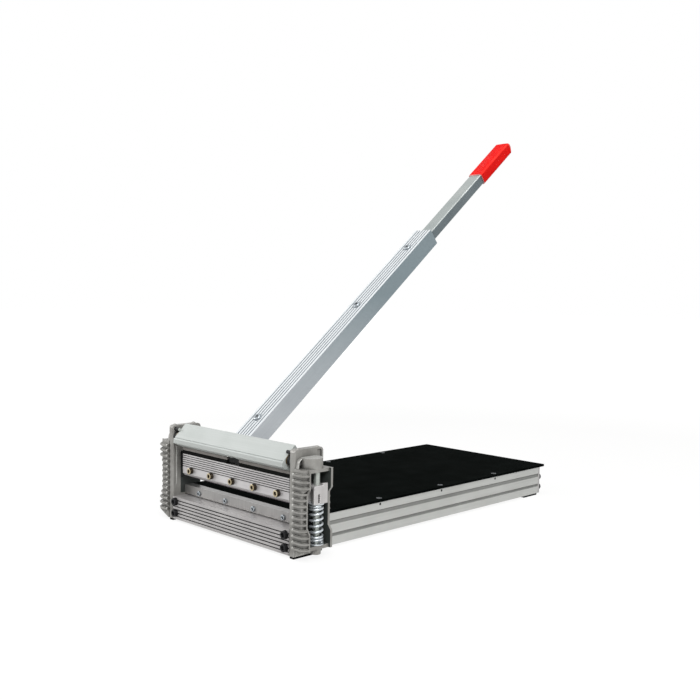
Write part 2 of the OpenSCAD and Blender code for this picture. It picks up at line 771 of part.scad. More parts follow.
module upright() {
    intersection() {
        along_z(0, post_h) upright_plan();
        along_x(post_in - cut, post_out + cut) upright_side(0);
    }
}

// A fin with a narrow crest on a wider foot
module fin(z) {
    out = out_at(z + fin_t / 2);
    along_z(z, z + fin_t) fin_plan(fin_step, out);
    along_z(z + fin_shoulder, z + fin_t - fin_shoulder) fin_plan(0, out);
}

module housing() {
    along_z(housing_low, housing_top) fin_plan(fin_d, housing_out - waist_d);
    difference() {
        along_z(housing_low, housing_top) fin_plan(fin_d, housing_out);
        waist_cut(fin_d);
    }
    for (i = [0 : fin_n - 1]) fin(housing_low + i * fin_pitch);
    difference() {
        union() {
            bar(post_out, housing_out, pocket_y0 - rim_w, pocket_y0, housing_low, housing_top);
            bar(post_out - cut, housing_out, pocket_y1, housing_back, housing_low, housing_top);
        }
        waist_cut(0);
    }
    bar(post_out - cut, housing_out - fin_d, pocket_y0 - cut, pocket_y1 + cut, roof_z, housing_top);
    bar(post_out - cut, housing_out - fin_d, pocket_y0 - cut, pocket_y1 + cut, housing_low, floor_z);
}

// Sloping web that carries the housing's front wall on the post's foot
module gusset() {
    intersection() {
        along_z(0, housing_low + cut) fin_plan(fin_d, housing_out);
        along_y(-far / 2, far / 2) polygon([[post_out - cut, 0], [post_out, 0], [housing_out, housing_low],
            [housing_out, housing_low + cut], [post_out - cut, housing_low + cut]]);
    }
}

// Room outside the waist of a face that lies inside the housing's outer face by an inset
module waist_cut(inset) {
    translate([-inset, 0, 0]) along_y(-far / 2, far / 2) polygon([[housing_out + far, waist_z0 - waist_ramp],
        [housing_out, waist_z0 - waist_ramp], [housing_out - waist_d, waist_z0],
        [housing_out - waist_d, waist_z1 - waist_ramp], [housing_out, waist_z1],
        [housing_out + far, waist_z1]]);
}

module post() {
    difference() {
        union() {
            upright();
            housing();
            gusset();
            translate([boss_x, boss_y, housing_top - cut]) cylinder(h = boss_h + cut, r = boss_r);
        }
        // Panel inside the ear's rim
        intersection() {
            along_x(post_out - ear_panel_d, post_out + cut) upright_side(ear_rim_w);
            bar(post_in, post_out + cut, boss_y + boss_r + panel_margin, post_depth,
                housing_top + panel_margin, post_h);
        }
        // Channel for the guide shoe, and the slot for the yoke's arm
        bar(post_in - cut, post_in + channel_d, shoe_y0 - slide_gap, shoe_y0 + shoe_w + slide_gap,
            shoe_low - stroke - channel_spare, shoe_top + slide_gap);
        bar(post_in, post_out + cut, arm_y - arm_w / 2 - slide_gap, arm_y + arm_w / 2 + slide_gap,
            arm_low - stroke - channel_spare, arm_top + slide_gap);
        // Guide rod, pivot pin, stop pin and screws
        translate([rod_x, rod_y, 0]) cylinder(h = rod_top + hole_fit, r = rod_d / 2 + hole_fit);
        translate([0, pivot_y, pivot_z])
            rod_along_x(post_in - cut, post_out + pivot_proud + hole_fit, pin_r + hole_fit);
        translate([0, pivot_y, pivot_z]) rotate([lever_angle, 0, 0]) translate([0, stop_u, stop_n])
            rod_along_x(post_in - cut, post_in + stop_in + hole_fit, stop_d / 2 + hole_fit);
        translate([post_out, anvil_screw_y, anvil_screw_z]) rotate([0, -90, 0])
            sunk_hole(m6_d, anvil_screw_l, sink_d);
        for (z = rail_screw_zs) translate([0, rail_screw_y, z])
            rod_along_x(post_in - cut, rail_screw_x1 + hole_fit, m5_d / 2 + hole_fit);
    }
}

module right_post() {
    color("#8d8d88") placed() post();
}

module left_post() {
    color("#8d8d88") placed() mirror([1, 0, 0]) post();
}

module cross_outline() {
    groove_pitch = cross_h / (cross_grooves + 1);
    difference() {
        translate([cross_inset, 0]) square([cross_d, cross_h]);
        translate([cross_inset + cross_wall, cross_wall])
            square([cross_d - 2 * cross_wall, cross_h - 2 * cross_wall]);
        for (i = [1 : cross_grooves]) translate([cross_inset, i * groove_pitch])
            square([2 * cross_groove_d, cross_groove_w], center = true);
    }
}

module frame_bolt_spots() {
    for (x = [-port_x, port_x], z = [bolt_row_low, bolt_row_high]) translate([x, 0, z]) children();
}

module front_crossmember() {
    color("#c4c6c3") placed() difference() {
        along_x(-rail_out, rail_out) cross_outline();
        frame_bolt_spots() rod_along_y(0, cross_back + cut, m6_d / 2 + hole_fit);
        frame_bolt_spots() rod_along_y(-cut, bolt_seat_y, m6_head_d / 2 + head_room);
    }
}

module front_frame_bolts() {
    color("#1c1c1e") placed() frame_bolt_spots() translate([0, bolt_seat_y - seat, 0]) rotate([-90, 0, 0])
        socket_screw(m6_d, rail_y0 + frame_bolt_bite - bolt_seat_y, m6_head_d, m6_head_h);
}

module rear_crossmember() {
    color("#c4c6c3") placed() difference() {
        along_x(-rail_out, rail_out) translate([rear_y0, 0]) square([rear_t, rail_h]);
        frame_bolt_spots() rod_along_y(rear_y0 - cut, rear_y1 + cut, m6_d / 2 + hole_fit);
    }
}

module rear_frame_bolts() {
    color("#1c1c1e") placed() frame_bolt_spots() translate([0, rear_y1 + seat, 0]) rotate([90, 0, 0])
        socket_screw(m6_d, rear_t + frame_bolt_bite, m6_head_d, m6_head_h);
}

// A groove along the rail's outer face
module rail_groove(drop, w) {
    z1 = rail_h - drop;
    z0 = z1 - w;
    polygon([[rail_out + cut, z0], [rail_out, z0], [rail_out - rail_groove_d, z0 + rail_groove_d],
        [rail_out - rail_groove_d, z1 - rail_groove_d], [rail_out, z1], [rail_out + cut, z1]]);
}

module rail_outline() {
    difference() {
        union() {
            difference() {
                translate([rail_in, 0]) square([rail_w, rail_h]);
                translate([rail_in + rail_wall, rail_wall])
                    square([rail_w - 2 * rail_wall, rail_h - 2 * rail_wall]);
                rail_groove(groove_high_drop, groove_high_w);
                rail_groove(groove_low_drop, groove_low_w);
            }
            for (z = [bolt_row_low, bolt_row_high]) translate([port_x, z])
                square([rail_w - 2 * rail_wall + 2 * seat, 2 * port_r], center = true);
        }
        for (z = [bolt_row_low, bolt_row_high]) translate([port_x, z]) circle(m6_d / 2 + hole_fit);
    }
}

module rail() {
    difference() {
        along_y(rail_y0, rail_y1) rail_outline();
        for (z = rail_screw_zs) translate([0, rail_screw_y, z])
            rod_along_x(rail_in - cut, rail_out + cut, m5_d / 2 + hole_fit);
        for (y = deck_screw_ys) translate([port_x, y, deck_top - deck_screw_l - hole_fit])
            cylinder(h = deck_screw_l, r = m4_d / 2 + hole_fit);
        for (y = deck_screw_ys) translate([0, y - side_screw_step, rail_h - side_screw_drop])
            rod_along_x(rail_out - side_screw_l - hole_fit, rail_out + cut, side_screw_d / 2 + hole_fit);
    }
}

module right_rail() {
    color("#c6c6c2") placed() rail();
}

module left_rail() {
    color("#c6c6c2") placed() mirror([1, 0, 0]) rail();
}

module rail_side_screws() {
    color("#1c1c1e") placed() both_sides() for (y = deck_screw_ys)
        translate([rail_out, y - side_screw_step, rail_h - side_screw_drop]) rotate([0, -90, 0])
            difference() {
                cylinder(h = side_screw_l, d = side_screw_d);
                translate([0, 0, -cut])
                    cylinder(h = cut + side_socket_depth, d = side_screw_d * socket_share, $fn = 6);
            }
}

module deck_panel() {
    color("#161917") placed() difference() {
        union() {
            bar(-deck_neck, deck_neck, deck_y0, deck_wide_y + cut, rail_h + seat, deck_top);
            bar(-deck_half, deck_half, deck_wide_y, deck_y1, rail_h + seat, deck_top);
        }
        both_sides() for (y = deck_screw_ys) translate([port_x, y, deck_top]) rotate([180, 0, 0])
            sunk_hole(m4_d, deck_screw_l, deck_sink_d);
    }
}

module deck_screws() {
    color("#b9bcb9") placed() both_sides() for (y = deck_screw_ys) translate([port_x, y, deck_top])
        rotate([180, 0, 0]) sunk_screw(m4_d, deck_screw_l, deck_sink_d);
}

module low_screw_holes() {
    for (x = low_screw_xs) translate([x, 0, low_screw_z])
        rod_along_y(low_blade_front - cut, low_blade_front + low_screw_l + hole_fit, m4_d / 2 + hole_fit);
}

module anvil_bar() {
    color("#a9abab") placed() difference() {
        bar(-rail_out, rail_out, anvil_front, anvil_back, cross_h + seat, deck_top);
        low_screw_holes();
        both_sides() translate([0, anvil_screw_y, anvil_screw_z])
            rod_along_x(post_out - anvil_screw_l - hole_fit, post_in + cut, m6_d / 2 + hole_fit);
    }
}

module lower_blade() {
    color("#c9c9c6") placed() difference() {
        bar(-rail_out, rail_out, low_blade_front, low_blade_back, deck_top - low_blade_h, deck_top);
        low_screw_holes();
    }
}

module lower_blade_screws() {
    color("#b9bcb9") placed() for (x = low_screw_xs) translate([x, low_blade_front - seat, low_screw_z])
        rotate([-90, 0, 0]) socket_screw(m4_d, low_screw_l, m4_head_d, button_h);
}

module post_screws() {
    color("#3a3c3d") placed() both_sides() {
        translate([post_out, anvil_screw_y, anvil_screw_z]) rotate([0, -90, 0])
            sunk_screw(m6_d, anvil_screw_l, sink_d);
        for (z = rail_screw_zs) translate([rail_screw_x0, rail_screw_y, z]) rotate([0, 90, 0])
            socket_screw(m5_d, rail_screw_x1 - rail_screw_x0, m5_head_d, m5_head_h);
    }
}

module front_pads() {
    color("#1d1e1e") placed() both_sides() bar(post_in + pad_margin, post_out - pad_margin,
        pad_margin, post_depth - pad_margin, -pad_h, -seat);
}

module rear_pads() {
    color("#1d1e1e") placed() both_sides() bar(rail_in + pad_margin, rail_out - pad_margin,
        rail_y1 - rear_pad_l, rail_y1 - pad_margin, -pad_h, -seat);
}

module guide_rod() {
    translate([rod_x, rod_y, 0]) {
        along_z(housing_low - rod_head_h, housing_low - seat) circle(d = rod_head_d);
        along_z(housing_low - rod_head_h, rod_top) circle(d = rod_d);
    }
}

module right_guide_rod() {
    color("#b4b8b6") placed() guide_rod();
}

module left_guide_rod() {
    color("#b4b8b6") placed() mirror([1, 0, 0]) guide_rod();
}

module spring_ring(z) {
    translate([rod_x, rod_y, z]) difference() {
        cylinder(h = washer_t, r = washer_r);
        translate([0, 0, -cut]) cylinder(h = washer_t + 2 * cut, r = rod_hole_r);
    }
}

module lower_spring_seats() {
    color("#c9ccca") placed() both_sides() spring_ring(floor_z + seat);
}

module upper_spring_washers() {
    color("#c9ccca") placed() both_sides() spring_ring(spring_top_z);
}

module right_spring() {
    color("#d5d8d8") placed() translate([rod_x, rod_y, 0]) polyhedron(wire_points, wire_faces);
}

module left_spring() {
    color("#d5d8d8") placed() translate([-rod_x, rod_y, 0]) polyhedron(wire_points, wire_faces);
}

module pivot_pins() {
    color("#6b6f70") at_pivot() both_sides() rod_along_x(beam_half - bush_l, post_out + pivot_proud, pin_r);
}

module pivot_spacers() {
    color("#2a2b2c") at_pivot() both_sides() difference() {
        rod_along_x(spacer_x0, post_in - seat, collar_r);
        rod_along_x(spacer_x0 - cut, post_in + cut, pin_r + hole_fit);
    }
}

module stop_pins() {
    color("#6b6f70") at_lever() both_sides() translate([0, stop_u, stop_n])
        rod_along_x(beam_half - stop_over, post_in + stop_in, stop_d / 2);
}

module carrier_outline() {
    difference() {
        union() {
            polygon([[web_y0, carrier_z1], [web_y0, carrier_z0 + chin_h], [web_y0 + chin_back, carrier_z0],
                [web_y1, carrier_z0], [web_y1, carrier_z1]]);
            translate([web_y0 + cut, flange_z0]) square([flange_d - cut, flange_h]);
        }
        translate([arm_y - arm_w / 2 - seat, arm_low - seat]) square([arm_w + 2 * seat, arm_h + 2 * seat]);
        for (i = [0 : carrier_grooves - 1]) translate([web_y0, groove_top - i * carrier_groove_pitch])
            square([2 * carrier_groove_d, carrier_groove_w], center = true);
    }
}

module blade_bolt_holes() {
    for (x = blade_bolt_xs) translate([x, 0, blade_bolt_z])
        rod_along_y(web_y0 - cut, blade_y1 + cut, m5_d / 2 + hole_fit);
}

module blade_carrier() {
    color("#c3c5c4") placed() difference() {
        along_x(-carrier_half, carrier_half) carrier_outline();
        blade_bolt_holes();
        both_sides() translate([yoke_screw_x, arm_y, arm_z])
            cylinder(h = far, r = m5_d / 2 + hole_fit);
    }
}

module blade() {
    color("#4a4a50") placed() difference() {
        along_x(-carrier_half, carrier_half) polygon([[blade_y1, blade_edge_z],
            [blade_y1, blade_edge_z + blade_h], [blade_y0, blade_edge_z + blade_h],
            [blade_y0, blade_edge_z + bevel_h], [blade_y1 - edge_flat, blade_edge_z]]);
        blade_bolt_holes();
    }
}

module blade_bolts() {
    color("#2b2926") placed() for (x = blade_bolt_xs) translate([x, web_y0 - seat, blade_bolt_z])
        rotate([-90, 0, 0]) socket_screw(m5_d, blade_bolt_l, m5_head_d, m5_head_h);
}

module guard_strips() {
    y0 = web_y0 + guard_in;
    x0 = cam_w / 2 + guard_gap;
    color("#1d1e1e") placed() both_sides() along_z(carrier_z1 + seat, carrier_z1 + guard_h)
        polygon([[x0, y0], [carrier_half, y0], [carrier_half, y0 + guard_t], [x0 + guard_t, y0 + guard_t],
            [x0 + guard_t, y0 + guard_return], [x0, y0 + guard_return]]);
}

module yoke() {
    y0 = rod_y - yoke_w / 2;
    y1 = rod_y + yoke_w / 2;
    difference() {
        union() {
            bar(arm_x0, yoke_x0 + cut, arm_y - arm_w / 2, arm_y + arm_w / 2, arm_low, arm_top);
            bar(yoke_x0, yoke_x0 + yoke_t, y0, y1, yoke_foot, arm_top);
            bar(yoke_x0, yoke_x1, y0, y1, arm_top - yoke_t, arm_top);
            bar(yoke_x1 - yoke_t, yoke_x1, y0, y1, yoke_foot, arm_top);
            bar(yoke_x1 - yoke_t, yoke_x1, rod_y + yoke_w / 6, y1, arm_top - cut, arm_top + yoke_tab);
        }
        translate([rod_x, rod_y, arm_low - far]) cylinder(h = 2 * far, r = rod_hole_r);
        translate([yoke_x1, rod_y - yoke_slot_w, yoke_foot + yoke_slot_l / 2 + yoke_slot_up])
            cube([3 * yoke_t, yoke_slot_w, yoke_slot_l], center = true);
        translate([yoke_screw_x, arm_y, arm_low + yoke_screw_floor])
            cylinder(h = far, r = m5_d / 2 + hole_fit);
    }
}

module right_yoke() {
    color("#dad8d8") placed() yoke();
}

module left_yoke() {
    color("#dad8d8") placed() mirror([1, 0, 0]) yoke();
}

module yoke_screws() {
    color("#2b2c2e") placed() both_sides() translate([yoke_screw_x, arm_y, 0]) difference() {
        along_z(arm_low + yoke_screw_floor + hole_fit, carrier_z1 - yoke_screw_sunk) circle(d = m5_d);
        translate([0, 0, carrier_z1 - socket_depth]) cylinder(h = far, d = m5_d * socket_share, $fn = 6);
    }
}

module guide_shoes() {
    color("#202122") placed() both_sides() difference() {
        bar(shoe_x0, shoe_x1, shoe_y0, shoe_y0 + shoe_w, shoe_low, shoe_top);
        bar(shoe_x0 - cut, shoe_x1 + cut, arm_y - arm_w / 2 - seat, arm_y + arm_w / 2 + seat,
            arm_low - seat, arm_top + seat);
    }
}

module root_bolt_spots() {
    for (x = [-root_bolt_x, root_bolt_x]) translate([x, 0, -root_bolt_n]) children();
}

module lever_beam() {
    color("#d0d4d2") difference() {
        at_lever() along_x(-beam_half, beam_half) polygon(beam_outline);
        at_lever() translate([0, face_u0 + 2 * lip_line, face_n0]) rotate([beam_face_slope, 0, 0])
            cube([far, lip_line, lip_line], center = true);
        at_lever() both_sides() rod_along_x(beam_half - bush_l - hole_fit, far, bush_r + hole_fit);
        at_lever() root_bolt_spots() rod_along_y(-far, root_seat_u, m5_head_d / 2 + root_head_room);
        at_lever() root_bolt_spots() rod_along_y(0, far, m5_d / 2 + hole_fit);
        at_pivot() for (y = cam_screw_ys) translate([0, y, -far])
            cylinder(h = far + cam_screw_top + hole_fit, r = m4_d / 2 + hole_fit);
    }
}

module pivot_bushes() {
    color("#b08d4f") at_pivot() both_sides() difference() {
        union() {
            rod_along_x(beam_half - bush_l, beam_half + collar_t, bush_r);
            rod_along_x(beam_half + seat, beam_half + collar_t, collar_r);
        }
        rod_along_x(0, far, pin_r + running_fit);
    }
}

module cam_block() {
    color("#1f2021") at_pivot() difference() {
        along_x(-cam_w / 2, cam_w / 2) polygon(cam_outline);
        for (y = cam_screw_ys) translate([0, y, -far]) cylinder(h = far, r = m4_d / 2 + hole_fit);
        for (y = cam_screw_ys) translate([0, y, -far])
            cylinder(h = far + cam_screw_head_z, r = m4_head_d / 2 + cam_head_room);
    }
}

module cam_screws() {
    color("#3a3c3d") at_pivot() for (y = cam_screw_ys) translate([0, y, cam_screw_head_z - seat])
        socket_screw(m4_d, cam_screw_top - cam_screw_head_z + seat, m4_head_d, m4_head_h);
}

// Through holes for the handle bolts, in the lever's frame
module handle_bolt_holes() {
    for (u = bolt_spots) translate([0, u, -far / 2]) cylinder(h = far, r = m6_d / 2 + hole_fit);
}

module tube_plan(grow) {
    translate([0, tube_n]) round_box(tube_w + 2 * grow, tube_d + 2 * grow, tube_r + grow);
}

module handle_root() {
    color("#8f9596") at_lever() difference() {
        along_y(handle_start, root_end) tube_plan(0);
        handle_bolt_holes();
        root_bolt_spots() rod_along_y(handle_start - cut, root_seat_u + root_bolt_l + root_hole_spare,
            m5_d / 2 + hole_fit);
    }
}

module root_bolts() {
    color("#2b2c2e") at_lever() root_bolt_spots() translate([0, root_seat_u - seat, 0]) rotate([-90, 0, 0])
        socket_screw(m5_d, root_bolt_l, m5_head_d, m5_head_h);
}

module handle_outline() {
    difference() {
        translate([-handle_w / 2, handle_low_n]) square([handle_w, handle_d]);
        tube_plan(seat);
        for (i = [1 : handle_ridges - 1]) translate([-handle_w / 2 + i * ridge_pitch, handle_top_n])
            square([ridge_pitch * handle_groove_share, 2 * handle_groove_d], center = true);
    }
}

module lower_handle() {
    color("#c2c6c8") at_lever() difference() {
        along_y(handle_start, handle_end) handle_outline();
        handle_bolt_holes();
        for (u = bolt_spots) translate([0, u, spot_n]) cylinder(h = far, r = handle_washer_d / 2 + head_room);
    }
}

module handle_tube() {
    color("#a9b0ae") at_lever() difference() {
        along_y(tube_start, tube_end) tube_plan(0);
        along_y(tube_start - cut, tube_end + cut) tube_plan(-tube_wall);
        handle_bolt_holes();
    }
}

module grip_slice(u, less) {
    along_y(u - grip_tip_l, u) translate([0, tube_n]) round_box(tube_w + 2 * (seat + grip_t - less),
        tube_d + 2 * (seat + grip_t - less), tube_r + grip_t, $fn = 32);
}

module hand_grip() {
    color("#e0231f") at_lever() difference() {
        union() {
            along_y(grip_end - grip_l, grip_end - grip_taper) tube_plan(seat + grip_t);
            hull() {
                grip_slice(grip_end - grip_taper, 0);
                grip_slice(grip_end, grip_tip_t);
            }
        }
        along_y(grip_end - grip_l - cut, grip_end - grip_taper) tube_plan(seat);
    }
}

module handle_bolts() {
    color("#c9ccca") at_lever() for (u = bolt_spots) translate([0, u, spot_n + seat + handle_washer_t + seat])
        rotate([180, 0, 0])
            socket_screw(m6_d, handle_d + nut_h + handle_bolt_end, handle_head_d, handle_head_h);
}

module handle_washers() {
    color("#c9ccca") at_lever() for (u = bolt_spots) translate([0, u, spot_n + seat]) difference() {
        cylinder(h = handle_washer_t, d = handle_washer_d);
        translate([0, 0, -cut]) cylinder(h = handle_washer_t + 2 * cut, r = m6_d / 2 + hole_fit);
    }
}

module handle_nuts() {
    color("#c9ccca") at_lever() for (u = bolt_spots) translate([0, u, handle_low_n - seat - nut_h])
        difference() {
            cylinder(h = nut_h, d = nut_d, $fn = 6);
            translate([0, 0, -cut]) cylinder(h = nut_h + 2 * cut, r = m6_d / 2 + hole_fit);
        }
}

left_post();
right_post();
front_crossmember();
rear_crossmember();
left_rail();
right_rail();
deck_panel();
deck_screws();
rail_side_screws();
anvil_bar();
lower_blade();
lower_blade_screws();
front_frame_bolts();
rear_frame_bolts();
post_screws();
front_pads();
rear_pads();
left_guide_rod();
right_guide_rod();
lower_spring_seats();
left_spring();
right_spring();
pivot_pins();
pivot_spacers();
stop_pins();
blade_carrier();
blade();
blade_bolts();
guard_strips();
left_yoke();
right_yoke();
yoke_screws();
guide_shoes();
upper_spring_washers();
lever_beam();
pivot_bushes();
cam_block();
cam_screws();
handle_root();
root_bolts();
lower_handle();
handle_tube();
hand_grip();
handle_bolts();
handle_washers();
handle_nuts();
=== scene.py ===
import json
import math
import bmesh
import bpy
from mathutils import Euler, Matrix, Vector


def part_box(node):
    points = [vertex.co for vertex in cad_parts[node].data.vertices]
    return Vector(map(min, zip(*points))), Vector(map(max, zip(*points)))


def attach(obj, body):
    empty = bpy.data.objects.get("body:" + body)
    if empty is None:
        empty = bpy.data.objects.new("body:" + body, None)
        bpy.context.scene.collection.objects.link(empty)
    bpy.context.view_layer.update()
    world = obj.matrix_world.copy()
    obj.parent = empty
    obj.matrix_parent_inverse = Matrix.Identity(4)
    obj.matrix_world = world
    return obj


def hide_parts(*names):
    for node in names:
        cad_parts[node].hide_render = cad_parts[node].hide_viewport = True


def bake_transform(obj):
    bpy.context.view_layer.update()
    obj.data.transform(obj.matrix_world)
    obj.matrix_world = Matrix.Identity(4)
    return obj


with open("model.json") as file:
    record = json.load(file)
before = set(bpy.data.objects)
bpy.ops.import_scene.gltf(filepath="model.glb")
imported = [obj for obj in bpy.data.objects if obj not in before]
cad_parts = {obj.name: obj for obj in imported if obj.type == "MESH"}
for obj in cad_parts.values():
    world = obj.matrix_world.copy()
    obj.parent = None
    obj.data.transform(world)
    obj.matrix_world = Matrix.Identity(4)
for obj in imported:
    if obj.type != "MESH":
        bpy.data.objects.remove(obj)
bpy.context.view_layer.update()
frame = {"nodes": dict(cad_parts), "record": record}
bodyOf = {n: body for body, nodes in frame["record"]["behaviour"]["bodies"].items() for n in nodes}
print("frame loaded,", len(frame["nodes"]), "nodes")

# bench frame of the tool: y from the posts' front, z from the posts' underside, in mm
crossSet = 0.6  # from the posts' front back to the front crossmember
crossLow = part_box("front_crossmember")[0]
benchY = crossLow.y - crossSet / 1000
benchZ = crossLow.z
pivot = {"y": 7.5, "z": 110.5, "angle": 39}


def spot(x, y, z):
    return Vector((x / 1000, y / 1000 + benchY, z / 1000 + benchZ))


# a place on the lever: u along it from the pivot, n square to it
def leverSpot(x, u, n):
    a = math.radians(pivot["angle"])
    y = pivot["y"] + u * math.cos(a) - n * math.sin(a)
    z = pivot["z"] + u * math.sin(a) + n * math.cos(a)
    return spot(x, y, z)


def linear(hexText):
    parts = [int(hexText[i:i + 2], 16) / 255 for i in (1, 3, 5)]
    return [c / 12.92 if c <= 0.04045 else ((c + 0.055) / 1.055) ** 2.4 for c in parts] + [1.0]


def addNode(tree, kind, settings=None, links=None):
    node = tree.nodes.new(kind)
    for key, value in (settings or {}).items():
        if isinstance(key, str) and hasattr(node, key):
            setattr(node, key, value)
        else:
            node.inputs[key].default_value = value
    for key, (source, output) in (links or {}).items():
        tree.links.new(source.outputs[output], node.inputs[key])
    return node


# camera, where the photograph was taken from
cameraFit = {"place": (0.92333, -0.98464, 0.31568), "yaw": 0.7896, "pitch": 0.0674, "roll": 0.0147,
             "lens": 48.07, "sensor": 36, "nearest": 0.01}
yaw, pitch, roll = cameraFit["yaw"], cameraFit["pitch"], cameraFit["roll"]
ahead = Vector((-math.sin(yaw) * math.cos(pitch), math.cos(yaw) * math.cos(pitch), -math.sin(pitch)))
level = Vector((math.cos(yaw), math.sin(yaw), 0))
upright = level.cross(ahead)
across = math.cos(roll) * level + math.sin(roll) * upright
upward = math.cos(roll) * upright - math.sin(roll) * level
cameraData = bpy.data.cameras.new("photoCamera")
cameraData.lens = cameraFit["lens"]
cameraData.sensor_width = cameraFit["sensor"]
cameraData.clip_start = cameraFit["nearest"]
camera = bpy.data.objects.new("photoCamera", cameraData)
camera.matrix_world = Matrix((
    (across.x, upward.x, -ahead.x, cameraFit["place"][0]),
    (across.y, upward.y, -ahead.y, cameraFit["place"][1]),
    (across.z, upward.z, -ahead.z, cameraFit["place"][2]),
    (0, 0, 0, 1)))
scene = bpy.context.scene
scene.collection.objects.link(camera)
scene.camera = camera
scene.view_settings.view_transform = "Standard"

# white room: the camera and the reflections see white, the rest gets a softer light
room = {"ambient": 0.34, "floor": "#c4c4c2", "floorHalf": 9, "glow": 1.2, "nearShare": 0.72, "near": 0.9,
        "far": 3.0, "lampAim": (0, -0.05, 0.15)}
white = (1, 1, 1, 1)
world = bpy.data.worlds.new("whiteRoom")
world.use_nodes = True
scene.world = world


# 1 for the rays that show a background: camera, glossy and transmission
def backgroundRays(tree):
    rays = addNode(tree, "ShaderNodeLightPath")
    seen = addNode(tree, "ShaderNodeMath", {"operation": "ADD"},
                   {0: (rays, "Is Camera Ray"), 1: (rays, "Is Glossy Ray")})
    return addNode(tree, "ShaderNodeMath", {"operation": "ADD", "use_clamp": True},
                   {0: (seen, 0), 1: (rays, "Is Transmission Ray")})


roomTree = world.node_tree
roomTree.nodes.clear()
strength = addNode(roomTree, "ShaderNodeMapRange", {3: room["ambient"], 4: 1.0},
                   {0: (backgroundRays(roomTree), 0)})
sky = addNode(roomTree, "ShaderNodeBackground", {"Color": white}, {"Strength": (strength, 0)})
addNode(roomTree, "ShaderNodeOutputWorld", None, {"Surface": (sky, 0)})

lamps = [
    {"name": "keyLamp", "place": (1.9, -1.3, 1.9), "size": 1.2, "power": 48},
    {"name": "leftLamp", "place": (-1.2, -1.0, 0.7), "size": 0.9, "power": 9},
    {"name": "topLamp", "place": (0.2, -0.4, 2.6), "size": 1.6, "power": 19},
]
for lamp in lamps:
    data = bpy.data.lights.new(lamp["name"], "AREA")
    data.size = lamp["size"]
    data.energy = lamp["power"]
    light = bpy.data.objects.new(lamp["name"], data)
    light.location = lamp["place"]
    aim = Vector(room["lampAim"]) - Vector(lamp["place"])
    light.rotation_euler = aim.to_track_quat("-Z", "Y").to_euler()
    scene.collection.objects.link(light)

half = room["floorHalf"]
floorCorners = [(-half, -half, 0), (half, -half, 0), (half, half, 0), (-half, half, 0)]
floorMesh = bpy.data.meshes.new("paleFloor")
floorMesh.from_pydata(floorCorners, [], [(0, 1, 2, 3)])
floor = bpy.data.objects.new("paleFloor", floorMesh)
scene.collection.objects.link(floor)
floorPaint = bpy.data.materials.new("paleFloorPaint")
floorPaint.use_nodes = True
floorTree = floorPaint.node_tree
floorTree.nodes.clear()
floorPlace = addNode(floorTree, "ShaderNodeTexCoord")
floorReach = addNode(floorTree, "ShaderNodeVectorMath", {"operation": "LENGTH"}, {0: (floorPlace, "Object")})
floorShare = addNode(floorTree, "ShaderNodeMapRange", {1: room["near"], 2: room["far"], 3: room["nearShare"]},
                     {0: (floorReach, "Value")})
floorGlow = addNode(floorTree, "ShaderNodeMath", {"operation": "MULTIPLY"},
                    {0: (backgroundRays(floorTree), 0), 1: (floorShare, 0)})
floorMatt = addNode(floorTree, "ShaderNodeBsdfDiffuse", {"Color": linear(room["floor"])})
floorWhite = addNode(floorTree, "ShaderNodeEmission", {"Color": white, "Strength": room["glow"]})
floorMix = addNode(floorTree, "ShaderNodeMixShader", None,
                   {0: (floorGlow, 0), 1: (floorMatt, 0), 2: (floorWhite, 0)})
addNode(floorTree, "ShaderNodeOutputMaterial", None, {"Surface": (floorMix, 0)})
floorMesh.materials.append(floorPaint)
print("camera, lamps and floor made")


# 1 inside a box on either side of the tool, its corners in bench mm on the right
def zoneMask(tree, place, low, high):
    least, most = spot(*low), spot(*high)
    axes = addNode(tree, "ShaderNodeSeparateXYZ", None, {0: (place, "Object")})
    aside = addNode(tree, "ShaderNodeMath", {"operation": "ABSOLUTE"}, {0: (axes, "X")})
    mask = None
    for i, source in enumerate(((aside, 0), (axes, "Y"), (axes, "Z"))):
        inside = addNode(tree, "ShaderNodeMath", {
            "operation": "COMPARE", 1: (least[i] + most[i]) / 2, 2: (most[i] - least[i]) / 2}, {0: source})
        mask = inside if mask is None else addNode(tree, "ShaderNodeMath", {"operation": "MULTIPLY"},
                                                   {0: (mask, 0), 1: (inside, 0)})
    return mask


# shared by every finish that doesn't say otherwise: noise detail, the ranges of noise that the tone and the
# polish are read from, and how far the painted shade in a recess darkens
common = {"turn": (0, 0, 0), "metallic": 0.0, "streakShare": 0.6, "grainShare": 0.5, "gloss": 0.5,
          "detail": 2.0, "streakDetail": 3.0, "streakRough": 0.6, "toneFrom": (0.5, 1.1),
          "polishFrom": (0.3, 0.7), "hollowShare": 0.92, "hollowRays": 8}
